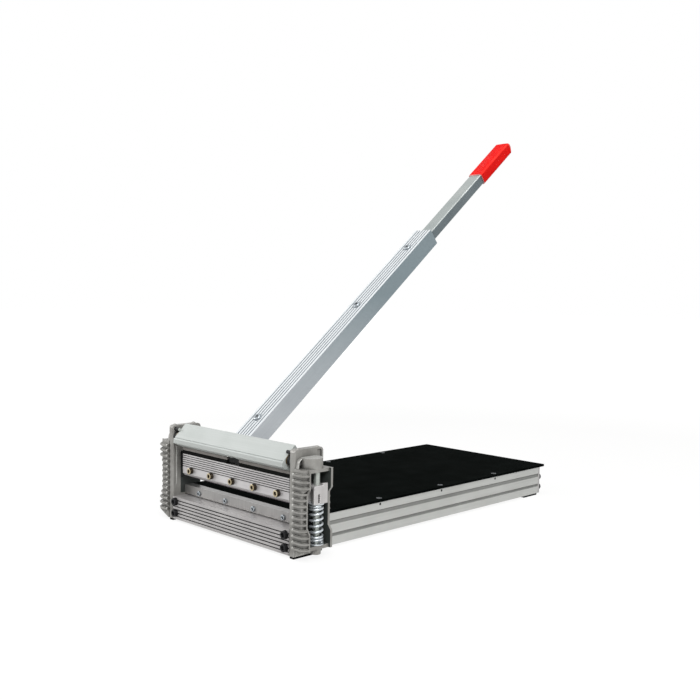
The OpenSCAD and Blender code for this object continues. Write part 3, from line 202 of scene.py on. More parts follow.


# one builder for every finish: streaks, a fine grain, a cloudy tone, painted shade that darkens upwards,
# painted shade in recesses, a zone of grease and painted shade
def surface(name, finish):
    look = {**common, **finish}
    material = bpy.data.materials.new(name)
    material.use_nodes = True
    tree = material.node_tree
    tree.nodes.clear()
    place = addNode(tree, "ShaderNodeTexCoord")
    turn = [math.radians(a) for a in look["turn"]]
    lay = addNode(tree, "ShaderNodeMapping", {
        "vector_type": "TEXTURE", "Rotation": turn, "Scale": [s / 1000 for s in look["streak"]]},
        {"Vector": (place, "Object")})
    streaks = addNode(tree, "ShaderNodeTexNoise", {
        "Scale": 1.0, "Detail": look["streakDetail"], "Roughness": look["streakRough"]},
        {"Vector": (lay, 0)})
    grain = addNode(tree, "ShaderNodeTexNoise", {"Scale": 1000 / look["grain"], "Detail": look["detail"]},
                    {"Vector": (place, "Object")})
    clouds = addNode(tree, "ShaderNodeTexNoise", {"Scale": 1000 / look["cloud"], "Detail": look["detail"]},
                     {"Vector": (place, "Object")})
    mixed = addNode(tree, "ShaderNodeMath", {"operation": "MULTIPLY_ADD", 1: look["streakShare"]},
                    {0: (streaks, 0), 2: (clouds, 0)})
    spread = addNode(tree, "ShaderNodeMapRange", {1: look["toneFrom"][0], 2: look["toneFrom"][1]},
                     {0: (mixed, 0)})
    tone = addNode(tree, "ShaderNodeMix", {
        "data_type": "RGBA", 6: linear(look["colour"]), 7: linear(look["shade"])}, {0: (spread, 0)})
    # painted shade: the tone darkens towards the top of the piece
    if "fade" in look:
        reach = addNode(tree, "ShaderNodeSeparateXYZ", None, {0: (place, "Object")})
        climb = addNode(tree, "ShaderNodeMapRange", {
            1: look["fadeMm"][0] / 1000, 2: look["fadeMm"][1] / 1000}, {0: (reach, "Z")})
        tone = addNode(tree, "ShaderNodeMix", {"data_type": "RGBA", 7: linear(look["fade"])},
                       {0: (climb, 0), 6: (tone, 2)})
    # painted shade: ambient occlusion of the piece itself darkens the tone in its pockets and recesses
    if "hollow" in look:
        pockets = addNode(tree, "ShaderNodeAmbientOcclusion", {
            "only_local": True, "samples": look["hollowRays"], "Distance": look["hollowMm"] / 1000})
        depth = addNode(tree, "ShaderNodeMapRange", {
            1: look["hollowAt"][0], 2: look["hollowAt"][1], 4: look["hollowShare"]}, {0: (pockets, "AO")})
        tone = addNode(tree, "ShaderNodeMix", {"data_type": "RGBA", 7: linear(look["hollow"])},
                       {0: (depth, 0), 6: (tone, 2)})
    # grease and painted shade: a box on each side of the tool painted dark
    if "zone" in look:
        greaseShadeTone = addNode(tree, "ShaderNodeMix", {
            "data_type": "RGBA", 6: linear(look["grease"][0]), 7: linear(look["grease"][1])},
            {0: (spread, 0)})
        tone = addNode(tree, "ShaderNodeMix", {"data_type": "RGBA"},
                       {0: (zoneMask(tree, place, *look["zone"]), 0), 6: (tone, 2), 7: (greaseShadeTone, 2)})
    polish = addNode(tree, "ShaderNodeMapRange", {
        1: look["polishFrom"][0], 2: look["polishFrom"][1], 3: look["rough"][0], 4: look["rough"][1]},
        {0: (streaks, 0)})
    relief = addNode(tree, "ShaderNodeMath", {"operation": "MULTIPLY_ADD", 1: look["grainShare"]},
                     {0: (grain, 0), 2: (streaks, 0)})
    bump = addNode(tree, "ShaderNodeBump", {"Strength": look["bump"], "Distance": look["reliefMm"] / 1000},
                   {"Height": (relief, 0)})
    shader = addNode(tree, "ShaderNodeBsdfPrincipled", {
        "Metallic": look["metallic"], "Specular IOR Level": look["gloss"]},
        {"Base Color": (tone, 2), "Roughness": (polish, 0), "Normal": (bump, 0)})
    addNode(tree, "ShaderNodeOutputMaterial", None, {"Surface": (shader, 0)})
    return material


# values that several finishes share: tones of grease and painted shade, die and draw lines along the metal,
# the bronzed skin, and painted shade in the grooves of the carrier and crossmembers and in the bolts' sockets
leverTurn = (pivot["angle"], 0, 0)
grease = ("#464b49", "#343836")
railLines = {"streak": (2.0, 160, 2.0), "grain": 0.8, "cloud": 60, "bump": 0.15, "reliefMm": 0.12}
crossLines = {"streak": (160, 2.0, 2.0), "grain": 0.8, "cloud": 50, "bump": 0.18, "reliefMm": 0.12,
              "metallic": 0.4, "rough": (0.34, 0.5), "hollow": "#1d1b1d", "hollowMm": 4,
              "hollowAt": (0.85, 0.4)}
handleLines = {"streak": (1.8, 170, 1.8), "turn": leverTurn, "grain": 0.8, "bump": 0.14, "reliefMm": 0.1,
               "gloss": 0.3}
brushedLines = {**handleLines, "cloud": 110, "metallic": 0.15, "rough": (0.34, 0.48)}
tubeLines = {"streak": (1.6, 120, 1.6), "turn": leverTurn, "grain": 0.7, "bump": 0.1, "reliefMm": 0.08,
             "rough": (0.24, 0.36), "gloss": 0.4}
bronzed = {"streak": (3, 3, 3), "grain": 0.7, "bump": 0.12, "reliefMm": 0.06, "rough": (0.2, 0.3),
           "hollow": "#14110e", "hollowMm": 2}
finishes = {
    # pressure die-cast aluminium, shot-blasted: matt warm grey skin, fine pitting, rubbed bright on its
    # edges, painted shade in its pockets, dark with grease and painted shade in the guideways
    "castAluminium": {
        "colour": "#a2a19d", "shade": "#84827e", "edge": "#d4d4d0", "hollow": "#2a2926", "hollowMm": 30,
        "streak": (9, 9, 9), "grain": 1.1, "cloud": 26, "metallic": 0.4, "rough": (0.36, 0.54),
        "bump": 0.45, "reliefMm": 0.35, "grainShare": 0.8, "hollowAt": (0.86, 0.3), "grease": grease,
        "zone": ((117.5, 12.7, 33), (121.5, 45.5, 90))},
    # the same casting inside the spring housings: as cast, dark with grease and painted shade
    "castGreased": {
        "colour": grease[0], "shade": grease[1], "streak": (12, 12, 12), "grain": 1.1, "cloud": 18,
        "metallic": 0.15, "gloss": 0.3, "rough": (0.45, 0.65), "bump": 0.4, "reliefMm": 0.35},
    # the casting's turned faces, on top of the bosses: bright, a painted highlight, with fine tool marks
    "castTurned": {
        "colour": "#dededb", "shade": "#c9c9c6", "streak": (18, 1.4, 18), "grain": 0.8, "cloud": 14,
        "metallic": 0.5, "rough": (0.24, 0.36), "bump": 0.15, "reliefMm": 0.1},
    # extruded aluminium, satin anodised: die lines along its length, drawn 2 mm wide so that they show,
    # painted shade in its grooves
    "railAnodised": {
        **railLines, "colour": "#c8c9c6", "shade": "#b9bab7", "edge": "#ececea", "hollow": "#4a4d4c",
        "hollowMm": 8, "hollowAt": (0.95, 0.6), "metallic": 0.55, "rough": (0.36, 0.52)},
    # the floors of the rails' grooves: darker, a painted shade
    "railGroove": {
        **railLines, "colour": "#a3a4a1", "shade": "#8e8f8c", "hollow": "#666765", "hollowMm": 6,
        "hollowAt": (0.95, 0.5), "metallic": 0.3, "gloss": 0.3, "rough": (0.4, 0.56)},
    # the same extrusion run across the tool, for the carrier
    "crossAnodised": {**crossLines, "colour": "#d2d0d0", "shade": "#bdbabb", "edge": "#efedec"},
    # the crossmembers, scuffed by the bench: greyer
    "sillAnodised": {**crossLines, "colour": "#bcbab9", "shade": "#a8a5a5", "edge": "#dcdad9"},
    # extruded beam, clear anodised: pale, faintly green, die lines along it
    "beamAnodised": {
        "colour": "#c1c5c3", "shade": "#b3b8b5", "edge": "#eef1ee", "streak": (140, 2.4, 2.4), "grain": 0.9,
        "cloud": 70, "metallic": 0.1, "rough": (0.45, 0.6), "bump": 0.12, "reliefMm": 0.1, "gloss": 0.3},
    # extruded handle, clear anodised: bright ridges, painted shade in its grooves, die lines up its length
    "handleAnodised": {
        **handleLines, "colour": "#e2e6e8", "shade": "#d6dadd", "edge": "#fbfcfd", "hollow": "#3e4246",
        "hollowMm": 3, "hollowAt": (0.8, 0.35), "cloud": 80, "metallic": 0.05, "rough": (0.32, 0.46)},
    # its plain sides, brushed before anodising: bluish, in painted shade, darkening higher up as painted
    # shade
    "handleBrushed": {
        **brushedLines, "colour": "#ccd1d5", "shade": "#bbc0c5", "fade": "#86949a", "fadeMm": (140, 305)},
    # the walls of its grooves: greyer, a painted shade
    "handleGroove": {**brushedLines, "colour": "#a9b0b5", "shade": "#91989e"},
    # cold drawn steel tube, zinc plated: cool grey, glossy, faint draw lines
    "tubeZinc": {
        **tubeLines, "colour": "#a4aaa8", "shade": "#929a99", "edge": "#d5dad9", "cloud": 40,
        "metallic": 0.15},
    # the tube's sides: darker and bluer, a painted shade
    "tubeZincThin": {**tubeLines, "colour": "#6f7a7e", "shade": "#5b666b", "cloud": 60, "metallic": 0.2},
    # dipped soft vinyl: deep red, a low sheen, a slow orange-peel ripple; its lighter edge is a painted
    # highlight
    "gripVinyl": {
        "colour": "#ee1f1b", "shade": "#d81513", "edge": "#fb4238", "streak": (5, 12, 5), "turn": leverTurn,
        "grain": 2.2, "cloud": 22, "gloss": 0.06, "rough": (0.45, 0.6), "bump": 0.03, "reliefMm": 0.2},
    # the mouth of the grip: paler, a painted highlight
    "gripMouth": {
        "colour": "#f2b3ae", "shade": "#e48f8a", "streak": (5, 12, 5), "grain": 2.2, "cloud": 12,
        "gloss": 0.1, "rough": (0.5, 0.65), "bump": 0.05, "reliefMm": 0.2},
    # moulded black deck sheet: near black, a leathery grain about 1.5 mm wide
    "deckPlastic": {
        "colour": "#040605", "shade": "#0e1110", "edge": "#1c1f1e", "streak": (14, 30, 14), "grain": 1.5,
        "cloud": 34, "gloss": 0.004, "rough": (0.85, 0.95), "bump": 0.35, "reliefMm": 0.25,
        "grainShare": 1.0},
    # ground tool steel of the anvil, the lower blade and the pivot pins: pale, grind marks across it
    "groundSteel": {
        "colour": "#a9a7a5", "shade": "#908f8e", "edge": "#dededc", "streak": (1.4, 60, 30), "grain": 0.6,
        "cloud": 35, "metallic": 0.6, "rough": (0.28, 0.44), "bump": 0.15, "reliefMm": 0.08},
    # hardened blade steel, tinted by the temper, with a bright ground edge
    "bladeSteel": {
        "colour": "#7d747a", "shade": "#665e63", "edge": "#bdb8bb", "streak": (1.6, 30, 50), "grain": 0.7,
        "cloud": 30, "metallic": 0.8, "rough": (0.3, 0.46), "bump": 0.15, "reliefMm": 0.08},
    # bright zinc plating on springs, washers and nuts: silvery blue, glossy, a little mottled
    "brightZinc": {
        "colour": "#d8dde0", "shade": "#bcc3c8", "edge": "#eef1f3", "streak": (4, 4, 4), "grain": 0.8,
        "cloud": 9, "metallic": 0.6, "rough": (0.2, 0.34), "bump": 0.12, "reliefMm": 0.06},
    # plain zinc on the handle's pan heads and the lower blade's screws: greyer, painted shade in the recess
    "panZinc": {
        "colour": "#b3b9be", "shade": "#8e959a", "hollow": "#1c1e20", "hollowMm": 3, "streak": (4, 4, 4),
        "grain": 0.8, "cloud": 6, "metallic": 0.75, "rough": (0.2, 0.32), "bump": 0.12, "reliefMm": 0.06,
        "hollowAt": (0.85, 0.45)},
    # dull zinc on the deck screws, scuffed in use
    "dullZinc": {
        "colour": "#6e7173", "shade": "#585b5d", "streak": (3, 3, 3), "grain": 0.7,
        "cloud": 6, "metallic": 0.3, "gloss": 0.2, "rough": (0.4, 0.55), "bump": 0.15, "reliefMm": 0.06},
    # bronze-toned phosphate on the blade bolts: dark brown, glossy, painted shade in the sockets
    "bronzedSteel": {
        **bronzed, "colour": "#4a4238", "shade": "#332c24", "cloud": 6, "metallic": 0.85,
        "hollowAt": (0.8, 0.35)},
    # the same bolts' front faces, painted bright as a highlight, with painted shade in their sockets
    "bronzedRubbed": {
        **bronzed, "colour": "#cabd9f", "shade": "#9d8e6e", "cloud": 5, "metallic": 0.7,
        "hollowAt": (0.8, 0.45)},
    # nickel plated pressing of the yokes: near white, soft gloss, painted shade in the slot
    "yokeNickel": {
        "colour": "#cdcbca", "shade": "#b9b6b5", "edge": "#f0eeef", "streak": (5, 5, 22), "grain": 0.8,
        "cloud": 20, "metallic": 0.3, "rough": (0.34, 0.46), "bump": 0.1, "reliefMm": 0.08,
        "hollow": "#221f21", "hollowMm": 6, "hollowAt": (0.75, 0.4)},
    # machine steel of the guide rods and the handle's root, turned: pale grey, fine turning marks
    "turnedSteel": {
        "colour": "#c3c8c2", "shade": "#aeb3ae", "edge": "#dfe2e0", "streak": (30, 30, 1.2), "grain": 0.7,
        "cloud": 18, "metallic": 0.5, "rough": (0.28, 0.42), "bump": 0.12, "reliefMm": 0.06},
    # black oxide on the frame bolts and small screws: matt black, grey where rubbed
    "blackOxide": {
        "colour": "#1b1b1d", "shade": "#101012", "edge": "#4e4e51", "streak": (4, 4, 4), "grain": 0.7,
        "cloud": 8, "metallic": 0.4, "gloss": 0.3, "rough": (0.38, 0.54), "bump": 0.15, "reliefMm": 0.08},
    # moulded black nylon of shoes, spacers and cam
    "blackNylon": {
        "colour": "#141516", "shade": "#1e1f20", "edge": "#383939", "streak": (8, 8, 8), "grain": 1.2,
        "cloud": 20, "gloss": 0.12, "rough": (0.44, 0.6), "bump": 0.2, "reliefMm": 0.12},
    # black rubber of the foot pads and guard strips: dull, dusty
    "padRubber": {
        "colour": "#0f1010", "shade": "#1a1b1a", "edge": "#2c2c2b", "streak": (8, 8, 8), "grain": 1.4,
        "cloud": 14, "gloss": 0.05, "rough": (0.7, 0.88), "bump": 0.3, "reliefMm": 0.2},
    # grey upper web of the guard strips: painted shade standing in for the beam's shaded underside
    "webRubber": {
        "colour": "#a29d9a", "shade": "#8e8986", "streak": (30, 8, 8), "grain": 1.4, "cloud": 30,
        "gloss": 0.15, "rough": (0.6, 0.8), "bump": 0.2, "reliefMm": 0.15},
    # oil-soaked sintered bronze of the pivot bushes
    "bushBronze": {
        "colour": "#5f4d30", "shade": "#463922", "edge": "#8c744a", "streak": (3, 20, 20), "grain": 0.8,
        "cloud": 10, "metallic": 0.7, "rough": (0.36, 0.5), "bump": 0.15, "reliefMm": 0.08},
}
materials = {}
for name, look in finishes.items():
    materials[name] = surface(name, look)
    # the edge finish: paler where the edge is worn, and on the grip, the tube's corners and the fins' beads a
    # painted highlight
    if "edge" in look:
        wornAndLitEdge = {**look, "colour": look["edge"], "shade": look["colour"]}
        materials[name + "Edge"] = surface(name + "Edge", wornAndLitEdge)
print("finishes made:", len(materials))


def linked(name, mesh):
    piece = bpy.data.objects.new(name, mesh)
    scene.collection.objects.link(piece)
    return piece


# turns the evaluated object into a plain mesh of its own
def plain(piece, name):
    graph = bpy.context.evaluated_depsgraph_get()
    graph.update()
    mesh = bpy.data.meshes.new_from_object(piece.evaluated_get(graph))
    old = piece.data
    bpy.data.objects.remove(piece)
    bpy.data.meshes.remove(old)
    return linked(name, mesh)


# the finish itself, and its edge finish on the faces that the easing adds: wear, on some a painted highlight
def paint(piece, finish):
    piece.data.materials.clear()
    piece.data.materials.append(materials[finish])
    piece.data.materials.append(materials.get(finish + "Edge", materials[finish]))


# how a mesh is cleaned, in mm and degrees: points this close are merged, also after a cut, faces this flat
# are joined, and edges this sharp are eased
cleaning = {"doubles": 0.003, "cutDoubles": 0.03, "flat": 0.5, "sharp": 32, "segments": 2}


# rounds the sharp edges of a mesh and weights its normals so that flats stay flat
def eased(piece, name, width):
    for face in piece.data.polygons:
        face.use_smooth = True
    ease = piece.modifiers.new("ease", "BEVEL")
    ease.width = width / 1000
    ease.segments = cleaning["segments"]
    ease.limit_method = "ANGLE"
    ease.angle_limit = math.radians(cleaning["sharp"])
    ease.miter_outer = "MITER_ARC"
    # the edge finish: wear, on some finishes a painted highlight
    ease.material = 1  # the rubbed edge
    flats = piece.modifiers.new("flats", "WEIGHTED_NORMAL")
    flats.keep_sharp = True
    return plain(piece, name)


# a CAD node's shape with its doubles merged, flats joined and edges eased
def dressed(node, name, width, finish):
    piece = linked(name + "Raw", frame["nodes"][node].data.copy())
    for stale in ("custom_normal", "sharp_edge", "sharp_face"):
        if stale in piece.data.attributes:
            piece.data.attributes.remove(piece.data.attributes[stale])
    mesh = bmesh.new()
    mesh.from_mesh(piece.data)
    bmesh.ops.remove_doubles(mesh, verts=mesh.verts, dist=cleaning["doubles"] / 1000)
    # cut while the faces are triangles, because a joined face with a hole can lose the hole when it is cut
    if node in faceCuts:
        axis, place = faceCuts[node]
        cut = Vector((axis == "x", axis == "y", axis == "z"))
        made = bmesh.ops.bisect_plane(mesh, geom=mesh.verts[:] + mesh.edges[:] + mesh.faces[:],
                                      plane_co=spot(*(cut * place)), plane_no=cut)
        for part in made["geom_cut"]:
            if isinstance(part, bmesh.types.BMEdge):
                part.seam = True
    bmesh.ops.dissolve_limit(mesh, angle_limit=math.radians(cleaning["flat"]), verts=mesh.verts,
                             edges=mesh.edges, delimit={"SEAM"})
    # a cut leaves very short edges, and one of them would hold the easing of the whole piece to nothing
    if node in faceCuts:
        bmesh.ops.remove_doubles(mesh, verts=mesh.verts, dist=cleaning["cutDoubles"] / 1000)
    for face in mesh.faces:
        face.material_index = 0
    mesh.to_mesh(piece.data)
    mesh.free()
    paint(piece, finish)
    return eased(piece, name, width)


def stands(piece, slotName, body, *nodes):
    if nodes:
        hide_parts(*nodes)
    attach(piece, body)


# names a piece after its node: left_post gives leftPost
def pieceName(node):
    first, *rest = node.split("_")
    return first + "".join(word.title() for word in rest)


# pieces whose CAD shape is right: eased edge in mm, finish, slot
dressing = {
    "left_post": (0.8, "castAluminium", "cast_alloy"),
    "right_post": (0.8, "castAluminium", "cast_alloy"),
    "front_crossmember": (0.4, "sillAnodised", "rail_aluminium"),
    "rear_crossmember": (0.5, "sillAnodised", "rail_aluminium"),
    "left_rail": (0.7, "railAnodised", "rail_aluminium"),
    "right_rail": (0.7, "railAnodised", "rail_aluminium"),
    "deck_panel": (0.6, "deckPlastic", "deck_black"),
    "anvil_bar": (0.35, "groundSteel", "anvil_steel"),
    "lower_blade": (0.25, "groundSteel", "anvil_steel"),
    "post_screws": (0.2, "blackOxide", "black_oxide_steel"),
    "front_pads": (0.6, "padRubber", "pad_rubber"),
    "rear_pads": (0.6, "padRubber", "pad_rubber"),
    "left_guide_rod": (0.6, "turnedSteel", "pin_steel"),
    "right_guide_rod": (0.6, "turnedSteel", "pin_steel"),
    "lower_spring_seats": (0.25, "brightZinc", "zinc_steel"),
    "upper_spring_washers": (0.25, "brightZinc", "zinc_steel"),
    "pivot_pins": (0.5, "groundSteel", "pin_steel"),
    "pivot_spacers": (0.3, "blackNylon", "black_nylon"),
    # black oxide on the stop pins stands in for the shade at the beam's ends: painted shade
    "stop_pins": (0.4, "blackOxide", "pin_steel"),
    "blade_carrier": (0.3, "crossAnodised", "beam_aluminium"),
    "blade": (0.1, "bladeSteel", "blade_steel"),
    "guard_strips": (0.3, "padRubber", "pad_rubber"),
    "left_yoke": (0.45, "yokeNickel", "yoke_steel"),
    "right_yoke": (0.45, "yokeNickel", "yoke_steel"),
    "yoke_screws": (0.2, "blackOxide", "black_oxide_steel"),
    "guide_shoes": (0.5, "blackNylon", "black_nylon"),
    "lever_beam": (0.5, "beamAnodised", "beam_aluminium"),
    "pivot_bushes": (0.2, "bushBronze", "bush_bronze"),
    "cam_block": (0.5, "blackNylon", "black_nylon"),
    "cam_screws": (0.2, "blackOxide", "black_oxide_steel"),
    "handle_root": (0.3, "turnedSteel", "pin_steel"),
    "root_bolts": (0.2, "blackOxide", "black_oxide_steel"),
    "lower_handle": (0.35, "handleAnodised", "handle_aluminium"),
    "handle_tube": (0.9, "tubeZinc", "tube_steel"),
    "hand_grip": (2.2, "gripVinyl", "grip_red"),
    "handle_washers": (0.25, "brightZinc", "zinc_steel"),
    "handle_nuts": (0.4, "brightZinc", "zinc_steel"),
}


# gives the chosen faces another finish
def repaint(piece, finish, chosen):
    piece.data.materials.append(materials[finish])
    other = len(piece.data.materials) - 1
    for face in piece.data.polygons:
        if chosen(face):
            face.material_index = other


# faces inside a box on either side of the tool, its corners in bench mm on the right
def inBox(low, high):
    least, most = spot(*low), spot(*high)

    def chosen(face):
        at = Vector((abs(face.center.x), face.center.y, face.center.z))
        return all(least[i] < at[i] < most[i] for i in range(3))
    return chosen


# limits for choosing faces: parts of a face's unit normal, and mm below an outer face
facing = {"square": 0.9, "corner": 0.25, "mouth": -0.7, "grooveEnd": 0.5, "grooveMm": (0.4, 4.0),
          "ridgeMm": 1.0}


def facesSideways(face):
    return abs(face.normal.x) > facing["square"]


def facesDownLever(face):
    return face.normal.dot(leverSpot(0, 1, 0) - leverSpot(0, 0, 0)) * 1000 < facing["mouth"]


def roundsCorner(face):
    return facing["corner"] < abs(face.normal.x) < facing["square"]


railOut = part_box("right_rail")[1].x
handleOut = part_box("lower_handle")[1].x


# walls of the handle's grooves, inside its plain sides
def inRidges(face):
    return facesSideways(face) and abs(face.center.x) < handleOut - facing["ridgeMm"] / 1000


# faces sunk below the outer face of a rail
def inGroove(face):
    depth = (railOut - abs(face.center.x)) * 1000
    return facing["grooveMm"][0] < depth < facing["grooveMm"][1] and abs(face.normal.y) < facing["grooveEnd"]


# pieces with a second finish: the handle's sides and grooves in painted shade, pale steel faces on the pivot
# spacers and stop pins as painted light, the tube's sides in painted shade and its corners in a painted
# highlight, the grip's corners and mouth as painted highlights, a grey web on the guard strips as painted
# shade, and on both sides of the tool housings dark with grease and painted shade, turned bosses with a
# painted highlight, dull rod heads and rail grooves in painted shade
housing = inBox((127.1, 5.9, 13.9), (148.5, 37.6, 99.6))
bossTop = inBox((119, 7, 115.4), (148, 36, 116))
rodHead = inBox((120, 0, 0), (160, 60, 9.45))
webLow = 93.0
secondFinish = {
    "lower_handle": [("handleBrushed", facesSideways), ("handleGroove", inRidges)],
    # the spacers' and stop pins' side faces painted pale steel: painted light
    "pivot_spacers": [("turnedSteel", facesSideways)],
    "stop_pins": [("turnedSteel", facesSideways)],
    # the tube's sides in painted shade, its corners in a painted highlight
    "handle_tube": [("tubeZincThin", facesSideways), ("tubeZincEdge", roundsCorner)],
    # the grip's corners and mouth painted lighter: painted highlights
    "hand_grip": [("gripVinylEdge", roundsCorner), ("gripMouth", facesDownLever)],
    # a grey web painted as the beam's shaded underside: painted shade
    "guard_strips": [("webRubber", inBox((0, 0, webLow), (120, 60, 98)))],
}
# on both sides: housings in grease and painted shade, boss tops in a painted highlight, rail grooves in
# painted shade
for side in ("left", "right"):
    secondFinish[side + "_post"] = [("castGreased", housing), ("castTurned", bossTop)]
    secondFinish[side + "_guide_rod"] = [("castAluminium", rodHead)]
    secondFinish[side + "_rail"] = [("railGroove", inGroove)]
# faces cut in two at a place in bench mm: where a finish ends, and through the yokes' holes, because a flat
# that wraps round a hole can fold as its edges are eased
faceCuts = {"guard_strips": ("z", webLow), "left_yoke": ("y", 24.0), "right_yoke": ("y", 24.0)}
otherNames = {"blade": "upperBlade"}
for node, (width, finish, slotName) in dressing.items():
    piece = dressed(node, otherNames.get(node, pieceName(node)), width, finish)
    stands(piece, slotName, bodyOf[node], node)
    for second, chosen in secondFinish.get(node, []):
        repaint(piece, second, chosen)
print("CAD shapes dressed:", len(dressing))


def newTree(name, inputs):
    tree = bpy.data.node_groups.new(name, "GeometryNodeTree")
    for label, kind in inputs.items():
        tree.interface.new_socket(label, in_out="INPUT", socket_type="NodeSocket" + kind)
    tree.interface.new_socket("Geometry", in_out="OUTPUT", socket_type="NodeSocketGeometry")
    return tree


# ends a tree in real geometry with its finish
def endTree(tree, shape, inputs):
    real = addNode(tree, "GeometryNodeRealizeInstances", None, {"Geometry": (shape, 0)})
    done = addNode(tree, "GeometryNodeSetMaterial", None,
                   {"Geometry": (real, 0), "Material": (inputs, "Finish")})
    addNode(tree, "NodeGroupOutput", None, {"Geometry": (done, 0)})


# runs a tree on a mesh and returns the plain result
def grown(tree, name, mesh, values):
    piece = linked(name + "Raw", mesh)
    modifier = piece.modifiers.new("grow", "NODES")
    modifier.node_group = tree
    for socket in tree.interface.items_tree:
        if socket.in_out == "INPUT" and socket.name in values:
            modifier[socket.identifier] = values[socket.name]
    return plain(piece, name)


# coil spring: closed turns at both ends, open turns between, wire swept along the rising circle
spring = {"axisX": 139.0, "axisY": 24.0, "low": 15.65, "high": 61.0, "outside": 17.4, "wire": 2.8,
          "wireSides": 14, "turns": (2.0, 4.5, 1.5), "closedPitch": 3.2, "points": 330, "stillLow": 5.0,
          "stillHigh": 4.0}
coilTree = newTree("coilSpring", {
    "Geometry": "Geometry", "Centre": "Vector", "Coil Radius": "Float", "Wire Radius": "Float",
    "Low Turns": "Float", "Open Turns": "Float", "High Turns": "Float", "Closed Pitch": "Float",
    "Open Pitch": "Float", "Points": "Int", "Finish": "Material"})
coilIn = addNode(coilTree, "NodeGroupInput")
lowOpen = addNode(coilTree, "ShaderNodeMath", {"operation": "ADD"},
                  {0: (coilIn, "Low Turns"), 1: (coilIn, "Open Turns")})
allTurns = addNode(coilTree, "ShaderNodeMath", {"operation": "ADD"},
                   {0: (lowOpen, 0), 1: (coilIn, "High Turns")})
wireLine = addNode(coilTree, "GeometryNodeCurvePrimitiveLine", {"End": (0, 0, 1)})
wirePoints = addNode(coilTree, "GeometryNodeResampleCurve", None,
                     {"Curve": (wireLine, 0), "Count": (coilIn, "Points")})
wireShare = addNode(coilTree, "GeometryNodeSplineParameter")
turnNow = addNode(coilTree, "ShaderNodeMath", {"operation": "MULTIPLY"},
                  {0: (wireShare, "Factor"), 1: (allTurns, 0)})
angleNow = addNode(coilTree, "ShaderNodeMath", {"operation": "MULTIPLY", 1: 2 * math.pi}, {0: (turnNow, 0)})
coilXY = []
for wave in ("COSINE", "SINE"):
    waveNow = addNode(coilTree, "ShaderNodeMath", {"operation": wave}, {0: (angleNow, 0)})
    coilXY.append(addNode(coilTree, "ShaderNodeMath", {"operation": "MULTIPLY"},
                          {0: (waveNow, 0), 1: (coilIn, "Coil Radius")}))
openStart = addNode(coilTree, "ShaderNodeMath", {"operation": "SUBTRACT"},
                    {0: (turnNow, 0), 1: (coilIn, "Low Turns")})
openLow = addNode(coilTree, "ShaderNodeMath", {"operation": "MAXIMUM", 1: 0.0}, {0: (openStart, 0)})
openDone = addNode(coilTree, "ShaderNodeMath", {"operation": "MINIMUM"},
                   {0: (openLow, 0), 1: (coilIn, "Open Turns")})
closedDone = addNode(coilTree, "ShaderNodeMath", {"operation": "SUBTRACT"},
                     {0: (turnNow, 0), 1: (openDone, 0)})
closedRise = addNode(coilTree, "ShaderNodeMath", {"operation": "MULTIPLY"},
                     {0: (closedDone, 0), 1: (coilIn, "Closed Pitch")})
openRise = addNode(coilTree, "ShaderNodeMath", {"operation": "MULTIPLY_ADD"},
                   {0: (openDone, 0), 1: (coilIn, "Open Pitch"), 2: (closedRise, 0)})
coilSpot = addNode(coilTree, "ShaderNodeCombineXYZ", None,
                   {0: (coilXY[0], 0), 1: (coilXY[1], 0), 2: (openRise, 0)})
coilPlace = addNode(coilTree, "ShaderNodeVectorMath", {"operation": "ADD"},
                    {0: (coilSpot, 0), 1: (coilIn, "Centre")})
wirePath = addNode(coilTree, "GeometryNodeSetPosition", None,
                   {"Geometry": (wirePoints, 0), "Position": (coilPlace, 0)})
wireRound = addNode(coilTree, "GeometryNodeCurvePrimitiveCircle", {"Resolution": spring["wireSides"]},
                    {"Radius": (coilIn, "Wire Radius")})
wire = addNode(coilTree, "GeometryNodeCurveToMesh", {"Fill Caps": True},
               {"Curve": (wirePath, 0), "Profile Curve": (wireRound, 0)})
wireSmooth = addNode(coilTree, "GeometryNodeSetShadeSmooth", None, {"Geometry": (wire, 0)})
endTree(coilTree, wireSmooth, coilIn)

lowTurns, openTurns, highTurns = spring["turns"]
springRise = spring["high"] - spring["low"] - spring["wire"]
springOpen = (springRise - (lowTurns + highTurns) * spring["closedPitch"]) / openTurns
for side, node in ((-1, "left_spring"), (1, "right_spring")):
    name = pieceName(node)
    foot = spot(side * spring["axisX"], spring["axisY"], spring["low"] + spring["wire"] / 2)
    coil = grown(coilTree, name, bpy.data.meshes.new(name + "Seed"), {
        "Centre": foot, "Coil Radius": (spring["outside"] - spring["wire"]) / 2000,
        "Wire Radius": spring["wire"] / 2000, "Low Turns": lowTurns, "Open Turns": openTurns,
        "High Turns": highTurns, "Closed Pitch": spring["closedPitch"] / 1000,
        "Open Pitch": springOpen / 1000, "Points": spring["points"], "Finish": materials["brightZinc"]})
    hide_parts(node)
    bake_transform(coil)
print("springs wound")


# a bmesh made a plain mesh
def meshFrom(form, name):
    data = bpy.data.meshes.new(name)
    form.to_mesh(data)
    form.free()
    return data


# what every screw shares: steps round it, plain or with a cross recess, the recess arm's width as a share of
# its length, a least sine so that nothing is divided by zero, the angle in degrees from which edges stay
# sharp, and the bevel at the tip in mm
screwForm = {"steps": 24, "crossSteps": 48, "arm": 0.3, "least": 1e-6, "sharp": 38, "tip": 0.6}


